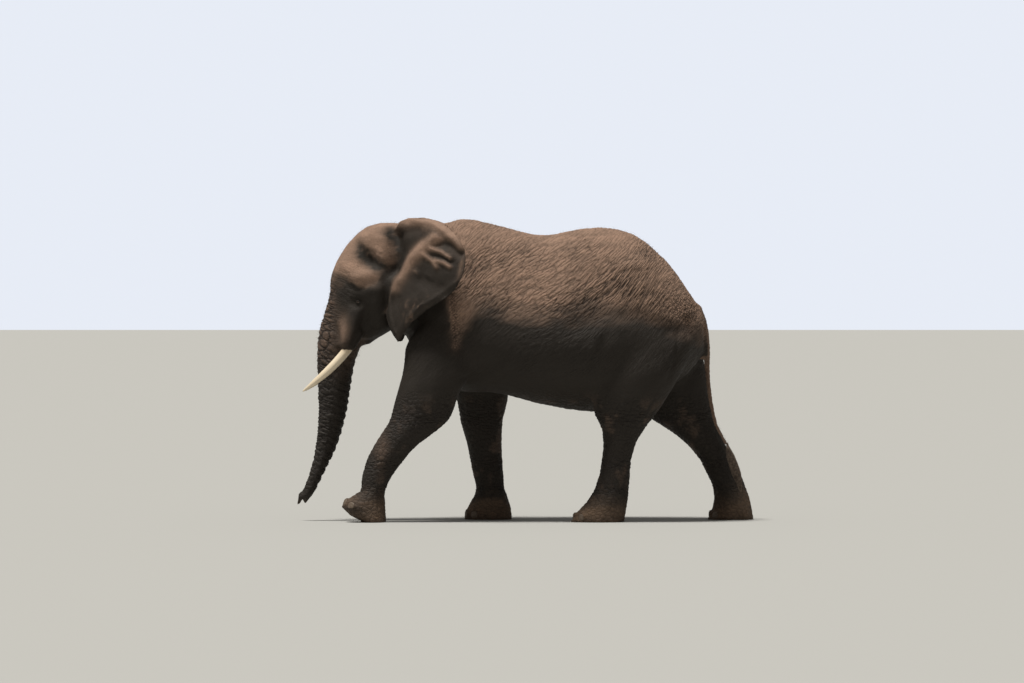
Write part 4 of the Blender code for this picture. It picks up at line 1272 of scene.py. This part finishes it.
def skin_material(settings):
    """Hide that is dusty on top and wet below, darkened by painted shade below and in the
    hollows, with the mesh's creases drawn finer and darkened by mud and painted shade.
    """
    nodes = Nodes("skin")
    here = nodes.here()
    depths = nodes.parts(nodes.attribute("depths"))
    dust, shade, soil = nodes.parts(nodes.attribute("tone"))
    dents = []
    for name, depth in zip(LAYERS, depths):
        away = nodes.ramp(nodes.borders(nodes.attribute(name)), 0.0, PAD_EDGE)
        dents.append(nodes.times(nodes.math("SUBTRACT", 1.0, nodes.math("SQRT", away)), depth))
    dent = nodes.plus(*dents)
    net = nodes.ramp(nodes.borders(here, 1 / NET_SIZE), 0.0, 0.25)
    grain = nodes.noise(here, GRAIN_SIZE)
    layers = (dent, -REDRAWN), (net, NET_RISE), (grain, GRAIN_RISE)
    nodes.bump(nodes.plus(*(nodes.times(layer, rise) for layer, rise in layers)))
    blotch = nodes.noise(nodes.stretched(here, (1.0, 0.45, 1.6)), BLOTCH_SIZE, 5.0)
    speck = nodes.noise(here, SPECK_SIZE, 4.0)
    # The shade share darkens the hide: wet hide and painted shade.
    colour = nodes.mix(nodes.ramp(shade, 0.05, 0.9), settings.hide, settings.shade)
    dusty = nodes.times(dust, nodes.ramp(blotch, 0.30, 0.62, 0.64, 1.06))
    dusty = nodes.times(dusty, nodes.ramp(speck, 0.25, 0.60, 0.75, 1.0))
    colour = nodes.mix(dusty, colour, nodes.mix(soil, settings.dust, settings.soil))
    # Creases darken towards the groove colour: mud and painted shade.
    groove = nodes.times(nodes.ramp(dent, GROOVE_FROM, GROOVE_TO), 0.80)
    colour = nodes.mix(groove, colour, settings.groove)
    # The fine net's borders darken too: mud and painted shade in the finest creases.
    colour = nodes.mix(1.0, colour, nodes.ramp(net, 0.0, 0.6, 0.82, 1.0), "MULTIPLY")
    rough = nodes.ramp(shade, 0.0, 1.0, 0.92, 0.72)
    return nodes.finish({"Base Color": colour, "Roughness": rough, "Specular IOR Level": 0.35})


# ---- Eyes, tusks and nails ----------------------------------------------------------


def grid_mesh(name, points):
    """A mesh of a grid of points: rows by columns, joined round."""
    mesh = bpy.data.meshes.new(name)
    faces = grid_faces(*points.shape[:2]).tolist()
    mesh.from_pydata(points.reshape(-1, 3).tolist(), [], faces)
    mesh.validate()
    mesh.shade_smooth()
    return mesh


def sphere_directions(rows, columns):
    """Unit directions by turn from the first axis (0 to half a turn) and round it."""
    turn = np.linspace(0.001, math.pi - 0.001, rows)[:, None]
    round_it = np.linspace(0, math.tau, columns, endpoint=False)[None, :]
    parts = np.broadcast_arrays(
        np.cos(turn), np.sin(turn) * np.cos(round_it), np.sin(turn) * np.sin(round_it)
    )
    return turn, np.stack(parts, axis=-1)


class ELEPHANT_OT_eyes(bpy.types.Operator):
    """Makes the two eyeballs: balls whose radius grows in front as a bell of the turn"""

    bl_idname = "elephant.eyes"
    bl_label = "Eyes"

    def execute(self, context):
        settings = context.scene.elephant_eye
        made = self.material(settings)
        for side in SIDES:
            eye, *axes = eye_axes(side)
            turn, ways = sphere_directions(72, 48)
            size = EYEBALL - LID_GAP + CORNEA * hump(turn, 0, CORNEA_TURN)
            mesh = grid_mesh("eye_" + side, eye + size[..., None] * (ways @ np.stack(axes)))
            keep_values(mesh, "turn", np.broadcast_to(turn, ways.shape[:2]), "value")
            keep_values(mesh, "ways", ways)
            add_piece("eyeball_" + side, mesh, made, "eye", "eye_" + side)
        return {"FINISHED"}

    def material(self, settings):
        """Pupil, iris with dark threads, its rim and the white, by the turn from the front."""
        nodes = Nodes("eye")
        turn = nodes.attribute("turn", "Fac")
        threads = nodes.noise(nodes.stretched(nodes.attribute("ways"), (2.0, 9.0, 9.0)), 1.0, 4.0)
        iris = nodes.mix(nodes.ramp(threads, 0.35, 0.65), DARK_IRIS, settings.iris)
        colour = nodes.mix(nodes.ramp(turn, *RIM_TURN), iris, IRIS_RIM)
        colour = nodes.mix(nodes.ramp(turn, *WHITE_TURN), colour, settings.white)
        colour = nodes.mix(nodes.ramp(turn, *PUPIL_TURN), PUPIL, colour)
        wet = {"Roughness": 0.12, "Coat Weight": 1.0, "Coat Roughness": 0.02}
        return nodes.finish({"Base Color": colour, **wet})


def tusk_curve(name):
    """Polynomials of a tusk's middle and radius over its share of the way to the tip, and
    the share at which it ends."""
    shape = merged_node(name)
    points = np.array([vert.co for vert in shape.verts])
    shape.free()
    root, tip = points[points[:, 2].argmax()], points[points[:, 2].argmin()]
    run = tip - root
    share = (points - root) @ run / (run @ run)
    middle = np.stack([np.polyfit(share, points[:, k], 3) for k in range(3)])
    fine = np.linspace(share.min(), share.max(), 400)
    away = np.linalg.norm(points[:, None] - on_curve(middle, fine)[None], axis=2)
    radius = np.polyfit(fine[away.argmin(axis=1)], away.min(axis=1), 4)
    return middle, radius, share.max()


def on_curve(middle, share):
    """Points on a curve that is given by a polynomial for each of x, y and z."""
    return np.stack([np.polyval(row, share) for row in middle], axis=1)


def lip_share(middle, end):
    """The share of a tusk's way at which its hidden end lies, a little inside the lip."""
    share = np.linspace(0.0, end, 400)
    into = (on_curve(middle, share)[:, 1:] - LIP_EDGE) @ -np.array(LIP_FACING[1:])
    return share[np.argmin(np.abs(into - TUSK_HIDDEN))]


def unit(vectors):
    return vectors / np.linalg.norm(vectors, axis=1, keepdims=True)


def tusk_surface(name):
    """A fluted ring carried along the tusk's middle, as a grid of points, and its grain: the
    ring's two sides and the share of the way. The radius closes at the tip like a ball's."""
    middle, radius, end = tusk_curve(name)
    body = np.linspace(lip_share(middle, end), end - TUSK_TIP, 110)
    share = np.concatenate([body, end - TUSK_TIP * np.linspace(0.96, 0, 24) ** 2])
    path = on_curve(middle, share)
    size = np.polyval(radius, np.minimum(share, end - TUSK_TIP)) * TUSK_FIT
    left = np.clip((end - share) / TUSK_TIP, 0.0, 1.0)
    size = size * np.sqrt(np.maximum(1 - (1 - left) ** 2, 1e-5))
    along = unit(np.gradient(path, axis=0))
    across = unit(np.cross(along, (1.0, 0.0, 0.0)))
    over = np.cross(across, along)
    turn = np.linspace(0, math.tau, 48, endpoint=False)
    flutes = 1 - 0.012 * np.abs(np.sin(3.5 * turn + 0.8)) - 0.006 * np.sin(11 * turn)
    turns = np.cos(turn)[None, :, None], np.sin(turn)[None, :, None]
    ring = across[:, None] * turns[0] + over[:, None] * turns[1]
    points = path[:, None] + size[:, None, None] * flutes[None, :, None] * ring
    grain = np.broadcast_arrays(*turns, share[:, None, None])
    return points, np.concatenate(grain, axis=-1)


class ELEPHANT_OT_tusks(bpy.types.Operator):
    """Makes the two tusks as swept tapering curves"""

    bl_idname = "elephant.tusks"
    bl_label = "Tusks"

    def execute(self, context):
        made = self.material(context.scene.elephant_tusk)
        for side in SIDES:
            points, grain = tusk_surface("tusk_" + side)
            mesh = grid_mesh("tusk_" + side, points)
            keep_values(mesh, "grain", grain)
            add_piece("ivory_" + side, mesh, made, "ivory", "tusk_" + side)
        return {"FINISHED"}

    def material(self, settings):
        """Cream ivory with lengthwise streaks, stained towards the lip."""
        nodes = Nodes("ivory")
        grain = nodes.attribute("grain")
        share = nodes.parts(grain)[2]
        streaks = nodes.noise(nodes.stretched(grain, (5.0, 5.0, 2.0)), 1.0, 6.0)
        cracks = nodes.noise(nodes.stretched(grain, (16.0, 16.0, 1.2)), 1.0, 3.0)
        lip = nodes.ramp(nodes.plus(share, nodes.times(streaks, 0.25)), 0.52, 0.22)
        streaked = nodes.ramp(streaks, 0.56, 0.76, 0.0, 0.40)
        stain = nodes.math("MAXIMUM", nodes.times(lip, 0.85), streaked)
        colour = nodes.mix(stain, settings.ivory, settings.stain)
        colour = nodes.mix(nodes.ramp(cracks, 0.62, 0.70, 0.0, 0.45), colour, settings.stain)
        nodes.bump(nodes.times(cracks, -0.0008))
        return nodes.finish({"Base Color": colour, "Roughness": 0.42})


def nail_axes(name):
    """A nail's middle, its axes (width, depth, height, outwards) and its half sizes."""
    shape = merged_node(name)
    points = np.array([vert.co for vert in shape.verts])
    shape.free()
    middle = points.mean(axis=0)
    _, _, axes = np.linalg.svd(points - middle, full_matrices=False)
    width, height, depth = axes
    foot = middle_of(name[: name.index("_nail")])
    depth = depth * np.sign((middle - foot) @ depth)
    height = height * np.sign(height[2])
    half = [np.abs((points - middle) @ axis).max() for axis in (width, depth, height)]
    return middle, np.stack([width, depth, height]), np.array(half)


def nail_surface(name):
    """A rounded block. Each direction (width, depth, height) reaches as far as
    (width^2.6 + depth^2.2 + height^tall)^(-1 / 2.6), where tall is 2.1 above the middle and
    4.5 below, times the nail's half sizes. Fine ridges run down the face."""
    middle, axes, half = nail_axes(name)
    ways = np.roll(sphere_directions(40, 48)[1], -1, axis=-1)
    width, depth, height = np.moveaxis(ways, -1, 0)
    size = np.abs(width) ** 2.6 + np.abs(depth) ** 2.2
    size = (size + np.abs(height) ** np.where(height > 0, 2.1, 4.5)) ** (-1 / 2.6)
    points = ways * size[..., None] * (half * NAIL_FIT)
    ridges = np.cos(math.tau * points[..., 0] / NAIL_RIDGE)
    points[..., 1] += NAIL_RIDGE_RISE * ridges * (depth > 0)
    points = middle + points @ axes
    points[..., 2] = np.maximum(points[..., 2], 0.001)
    return points


class ELEPHANT_OT_nails(bpy.types.Operator):
    """Makes the nails, one piece a foot"""

    bl_idname = "elephant.nails"
    bl_label = "Nails"

    def execute(self, context):
        made = self.material(context.scene.elephant_nail)
        for foot in sorted({name[: name.index("_nail")] for name in NAILS}):
            names = [name for name in NAILS if name.startswith(foot + "_nail")]
            shape = bmesh.new()
            for name in names:
                mesh = grid_mesh("nail", nail_surface(name))
                shape.from_mesh(mesh)
                bpy.data.meshes.remove(mesh)
            mesh = mesh_of(shape, foot + "_nails")
            mesh.shade_smooth()
            add_piece(foot + "_nails", mesh, made, "nail", *names)
        return {"FINISHED"}

    def material(self, settings):
        """Horn in darker and lighter bands, with dirt on it."""
        nodes = Nodes("nail")
        here = nodes.here()
        bands = nodes.noise(nodes.stretched(here, (0.6, 0.6, 1.6)), 0.02, 4.0)
        dirt = nodes.noise(here, 0.02, 4.0)
        dark = tuple(0.62 * part for part in settings.horn)
        colour = nodes.mix(nodes.ramp(bands, 0.35, 0.65), settings.horn, dark)
        colour = nodes.mix(nodes.ramp(dirt, 0.42, 0.62, 0.1, 0.8), colour, settings.dirt)
        nodes.bump(nodes.times(dirt, 0.001))
        return nodes.finish({"Base Color": colour, "Roughness": 0.6})


# ---- Hair ---------------------------------------------------------------------------


def unwrapped(points):
    """Places on an unwrap of the body's own shape: along it, and by the angle round its
    middle line."""
    turn = np.arctan2(points[:, 0], points[:, 2] - 1.9) / math.tau + 0.5
    return np.stack([(points[:, 1] + 2.5) / 5.0, turn], axis=1)


def hair_mesh(name, paths, radii):
    """Thin closed tubes along paths (hairs, points, 3) with radii (hairs, points). Each
    point of a path gets a ring of three corners, square to the path. The map holds a small
    patch for each hair at its root's place on the body's unwrap."""
    hairs, steps = paths.shape[:2]
    along = np.gradient(paths, axis=1)
    along /= np.maximum(np.linalg.norm(along, axis=2, keepdims=True), 1e-9)
    across = np.cross(along, (0.31, 0.94, 0.13))
    across /= np.maximum(np.linalg.norm(across, axis=2, keepdims=True), 1e-9)
    over = np.cross(along, across)
    turn = (np.arange(3) * math.tau / 3)[None, None, :, None]
    rings = across[:, :, None] * np.cos(turn) + over[:, :, None] * np.sin(turn)
    radii = np.broadcast_to(radii, (hairs, steps))
    points = paths[:, :, None] + rings * radii[:, :, None, None]
    first = np.arange(hairs) * steps * 3
    quads = (grid_faces(steps, 3)[None] + first[:, None, None]).reshape(-1, 4)
    caps = first[:, None] + np.array((2, 1, 0))
    ends = first[:, None] + (steps - 1) * 3 + np.array((0, 1, 2))
    mesh = bpy.data.meshes.new(name)
    faces = quads.tolist() + caps.tolist() + ends.tolist()
    mesh.from_pydata(points.reshape(-1, 3).tolist(), [], faces)
    corners = read(mesh.loops, "vertex_index", 1, np.int32)[:, 0]
    hair, rest = corners // (steps * 3), corners % (steps * 3)
    patch = np.stack([rest % 3 / 2, rest // 3 / (steps - 1)], axis=1) - 0.5
    layer = mesh.uv_layers.new(name="OFBake")
    places = unwrapped(paths[:, 0])[hair] + 0.003 * patch
    layer.data.foreach_set("uv", places.astype(np.float32).ravel())
    mesh.shade_smooth()
    return mesh


def hair_material(name, settings, share):
    """Hair in two tones, as shares of the clean hair's colour."""
    nodes = Nodes(name)
    tint = nodes.ramp(nodes.noise(nodes.here(), 0.02, 2.0), 0.4, 0.7)
    dark, light = (tuple(part * k for part in settings.black) for k in (share, 2.4 * share))
    colour = nodes.mix(tint, dark, light)
    return nodes.finish({"Base Color": colour, "Roughness": 0.65, "Specular IOR Level": 0.2})


def bent(roots, ways, lengths, droop, steps):
    """Paths from roots along ways, bending down by the droop's share of their length."""
    t = np.linspace(0, 1, steps)[None, :, None]
    fall = np.array((0.0, 0.0, -1.0)) * (droop * lengths)[:, None, None] * t**2
    return roots[:, None] + ways[:, None] * (lengths[:, None, None] * t) + fall


def tapering(radius, steps):
    """A short hair's radii, down to a fifth at its tip."""
    return radius * (1 - 0.8 * np.linspace(0, 1, steps))


def tuft_hairs(settings):
    """Paths and radii of the tail's hairs. Each hangs from a height near the tuft's top,
    wavers a little and keeps to an oval round the tuft's middle line. The oval's half axes
    swell over the tuft's length as a sine, and narrow to the end."""
    tuft = points_of(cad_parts["tail_tuft"].data)
    low, high = tuft[:, 2].min(), tuft[:, 2].max()
    middle = np.polyfit(tuft[:, 2], tuft[:, 1], 3)
    index = np.arange(settings.strands)
    chance = chances(5, index, index // 7, 0)
    more = chances(6, index, 0, index // 3)
    start = high + 0.02 - 0.26 * chance[:, 0] ** 1.4
    end = np.maximum(low + 0.004, start - 0.20 - 0.30 * chance[:, 1])
    t = np.linspace(0, 1, TUFT_STEPS)[None]
    z = start[:, None] + (end - start)[:, None] * t
    turn = (math.tau * more[:, 0])[:, None] + 0.5 * np.sin(3 * t + 6 * more[:, 1:2])
    down = (high - z) / (high - low)
    swell = np.sin(math.pi * np.clip(down, 0, 1)) ** 0.8
    taper = 1 - 0.55 * ramp(down, 0.6, 1.05)
    out = np.sqrt(chance[:, 2])[:, None] * (0.35 + 0.65 * ramp(t, 0.0, 0.35)) * taper
    wave = 0.003 * np.sin(9 * t + math.tau * more[:, 2:3])
    x = out * (0.014 + 0.026 * swell) * np.cos(turn) + wave
    y = np.polyval(middle, z) + out * (0.018 + 0.030 * swell) * np.sin(turn) - wave
    radii = settings.strand / 2 * (1 - 0.75 * t**2) * (0.7 + 0.6 * more[:, 2:3])
    return np.stack([x, y, z], axis=2), radii


class ELEPHANT_OT_tuft(bpy.types.Operator):
    """Makes the coarse black hair of the tail's end"""

    bl_idname = "elephant.tuft"
    bl_label = "Tail tuft"

    def execute(self, context):
        settings = context.scene.elephant_hair
        mesh = hair_mesh("tuft", *tuft_hairs(settings))
        made = hair_material("tail hair", settings, TAIL_HAIR_DUST_AND_LIGHT)
        add_piece("tuft", mesh, made, "tail_hair", "tail_tuft")
        return {"FINISHED"}


def lash_paths(side, number):
    """Roots, ways and lengths of one upper lid's lashes. They stand on the slit's upper arc
    and fan out towards its corners."""
    eye, out, ahead, up = eye_axes(side)
    index = np.arange(LASHES)
    chance = chances(9, index, number, index // 5)
    a = np.linspace(-0.92, 0.92, LASHES) * SLIT_HALF
    radius = (SLIT_HALF**2 + SLIT_UPPER**2) / (2 * SLIT_UPPER)
    b = np.sqrt(radius**2 - a**2) - (radius - SLIT_UPPER) + 0.001 + 0.002 * chance[:, 0]
    height = np.sqrt(np.maximum((EYEBALL + UPPER_LID) ** 2 - a**2 - b**2, 0.005**2)) - 0.002
    roots = eye + a[:, None] * ahead + b[:, None] * up + height[:, None] * out
    fan = a / SLIT_HALF * 0.55 + 0.25 * (chance[:, 1] - 0.5)
    ways = out * 0.85 + ahead * fan[:, None] - up * (0.30 + 0.25 * chance[:, 2])[:, None]
    return roots, unit(ways), LASH_LENGTH[0] + LASH_LENGTH[1] * chance[:, 2]


class ELEPHANT_OT_lashes(bpy.types.Operator):
    """Makes the long lashes of the upper lids"""

    bl_idname = "elephant.lashes"
    bl_label = "Lashes"

    def execute(self, context):
        settings = context.scene.elephant_hair
        lids = [lash_paths(side, number) for number, side in enumerate(SIDES)]
        roots, ways, lengths = (np.concatenate(both) for both in zip(*lids))
        paths = bent(roots, ways, lengths, LASH_DROOP, LASH_STEPS)
        mesh = hair_mesh("lashes", paths, tapering(LASH_RADIUS, LASH_STEPS))
        add_piece("lashes", mesh, hair_material("lash", settings, 0.3), "tail_hair")
        return {"FINISHED"}


def bristle_weight(points):
    """How thickly bristles grow at each point: on back, crown, chin, brow and tail, and none
    close to the eyes."""
    side = points[:, 1:]
    out, y, z = np.abs(points[:, 0]), points[:, 1], points[:, 2]
    weight = 0.5 * ramp(z, 2.55, 2.85) * (out < 0.5)
    weight += 1.5 * bell(side, (-1.62, 2.80), (0.25, 0.20)) * (out < 0.35)
    weight += 1.5 * bell(side, (-1.68, 1.72), (0.16, 0.10))
    weight += 1.0 * bell(points, (0.0, -2.0, 1.9), (0.2, 0.14, 0.4))
    weight += 2.0 * ramp(y, 1.90, 1.96) * (z > 0.7)
    weight *= np.linalg.norm(side - middle_of("eye_left")[1:], axis=1) > 0.10
    return weight


class ELEPHANT_OT_bristles(bpy.types.Operator):
    """Scatters sparse stiff bristles over back, crown, brow, chin and tail"""

    bl_idname = "elephant.bristles"
    bl_label = "Bristles"

    def execute(self, context):
        settings = context.scene.elephant_hair
        skin = bpy.data.objects["skin"].data
        points, normals = points_of(skin), normals_of(skin)
        weight = bristle_weight(points)
        chance = chances(3, np.arange(len(points)), 0, 0)
        order = np.argsort(-np.log(np.maximum(chance[:, 0], 1e-4)) / np.maximum(weight, 1e-6))
        chosen = order[: settings.bristles]
        chance = chances(4, chosen, chosen // 11, chosen // 5)
        lengths = BRISTLE_LENGTH[0] + BRISTLE_LENGTH[1] * chance[:, 0]
        ways = unit(normals[chosen] + 0.7 * (chance - 0.5) + np.array((0.0, 0.35, -0.15)))
        roots = points[chosen] - HAIR_ROOT * normals[chosen]
        paths = bent(roots, ways, lengths, BRISTLE_DROOP, BRISTLE_STEPS)
        mesh = hair_mesh("bristles", paths, tapering(BRISTLE_RADIUS, BRISTLE_STEPS))
        add_piece("bristles", mesh, hair_material("bristle", settings, 0.5), "tail_hair")
        return {"FINISHED"}


# ---- Stage --------------------------------------------------------------------------


def add_floor(settings):
    shape = bmesh.new()
    bmesh.ops.create_grid(shape, x_segments=1, y_segments=1, size=FLOOR_HALF)
    floor = placed("floor", mesh_of(shape, "floor"))
    floor.location.z = -FLOOR_GAP
    nodes = Nodes("floor")
    made = nodes.finish({"Base Color": tuple(settings.floor), "Roughness": 0.9})
    floor.data.materials.append(made)


def add_world(settings):
    """Even light from all round, which the camera sees as a pale backdrop."""
    world = bpy.data.worlds.new("studio")
    world.use_nodes = True
    nodes, links = world.node_tree.nodes, world.node_tree.links
    fill, backdrop = nodes["Background"], nodes.new("ShaderNodeBackground")
    fill.inputs["Color"].default_value = WARM
    fill.inputs["Strength"].default_value = settings.fill
    backdrop.inputs["Color"].default_value = COOL
    seen, mix = nodes.new("ShaderNodeLightPath"), nodes.new("ShaderNodeMixShader")
    links.new(seen.outputs["Is Camera Ray"], mix.inputs["Fac"])
    links.new(fill.outputs[0], mix.inputs[1])
    links.new(backdrop.outputs[0], mix.inputs[2])
    links.new(mix.outputs[0], nodes["World Output"].inputs["Surface"])
    bpy.context.scene.world = world


def add_key(settings):
    """A broad soft light from above and a little from the front."""
    light = bpy.data.lights.new("key", "SUN")
    light.angle = KEY_ANGLE
    light.energy = settings.key
    light.color = KEY_COLOUR
    key = placed("key", light)
    key.rotation_mode = "QUATERNION"
    key.rotation_quaternion = Vector(KEY_WAY).to_track_quat("-Z", "Y")


def add_camera(settings):
    """A distant camera square to the left flank, tilted down a little."""
    lens = bpy.data.cameras.new("camera")
    lens.lens = settings.lens
    lens.clip_end = 9000
    camera = placed("camera", lens)
    camera.location = (settings.distance, CAMERA_Y, settings.height)
    camera.rotation_euler = (CAMERA_PITCH, 0, math.radians(90))
    bpy.context.scene.camera = camera


class ELEPHANT_OT_stage(bpy.types.Operator):
    """Lays the floor and sets the lights and the camera"""

    bl_idname = "elephant.stage"
    bl_label = "Stage"

    def execute(self, context):
        for add in (add_floor, add_world, add_key, add_camera):
            add(context.scene.elephant_stage)
        context.scene.view_settings.view_transform = "Standard"
        return {"FINISHED"}


# ---- Add-on -------------------------------------------------------------------------

PROPERTY_GROUPS = {
    "elephant_skin": SkinSettings,
    "elephant_tusk": TuskSettings,
    "elephant_eye": EyeSettings,
    "elephant_nail": NailSettings,
    "elephant_hair": HairSettings,
    "elephant_stage": StageSettings,
}
OPERATORS = [
    ELEPHANT_OT_skin,
    ELEPHANT_OT_eyes,
    ELEPHANT_OT_tusks,
    ELEPHANT_OT_nails,
    ELEPHANT_OT_tuft,
    ELEPHANT_OT_lashes,
    ELEPHANT_OT_bristles,
    ELEPHANT_OT_stage,
]


class ELEPHANT_PT_panel(bpy.types.Panel):
    """Lists the elephant's pieces and their settings"""

    bl_idname = "ELEPHANT_PT_panel"
    bl_label = "Elephant"
    bl_space_type = "VIEW_3D"
    bl_region_type = "UI"
    bl_category = "Elephant"

    def draw(self, context):
        for name, group in PROPERTY_GROUPS.items():
            box = self.layout.box()
            for key in group.__annotations__:
                box.prop(getattr(context.scene, name), key)
        for operator in OPERATORS:
            self.layout.operator(operator.bl_idname)


def register():
    for made in (*PROPERTY_GROUPS.values(), *OPERATORS, ELEPHANT_PT_panel):
        bpy.utils.register_class(made)
    for name, group in PROPERTY_GROUPS.items():
        setattr(bpy.types.Scene, name, PointerProperty(type=group))


def unregister():
    for name in PROPERTY_GROUPS:
        delattr(bpy.types.Scene, name)
    for made in (ELEPHANT_PT_panel, *reversed(OPERATORS), *PROPERTY_GROUPS.values()):
        bpy.utils.unregister_class(made)


def main():
    register()
    bpy.ops.elephant.skin()
    bpy.ops.elephant.eyes()
    bpy.ops.elephant.tusks()
    bpy.ops.elephant.nails()
    bpy.ops.elephant.tuft()
    bpy.ops.elephant.lashes()
    bpy.ops.elephant.bristles()
    bpy.ops.elephant.stage()
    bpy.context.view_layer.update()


if __name__ == "__main__":
    main()
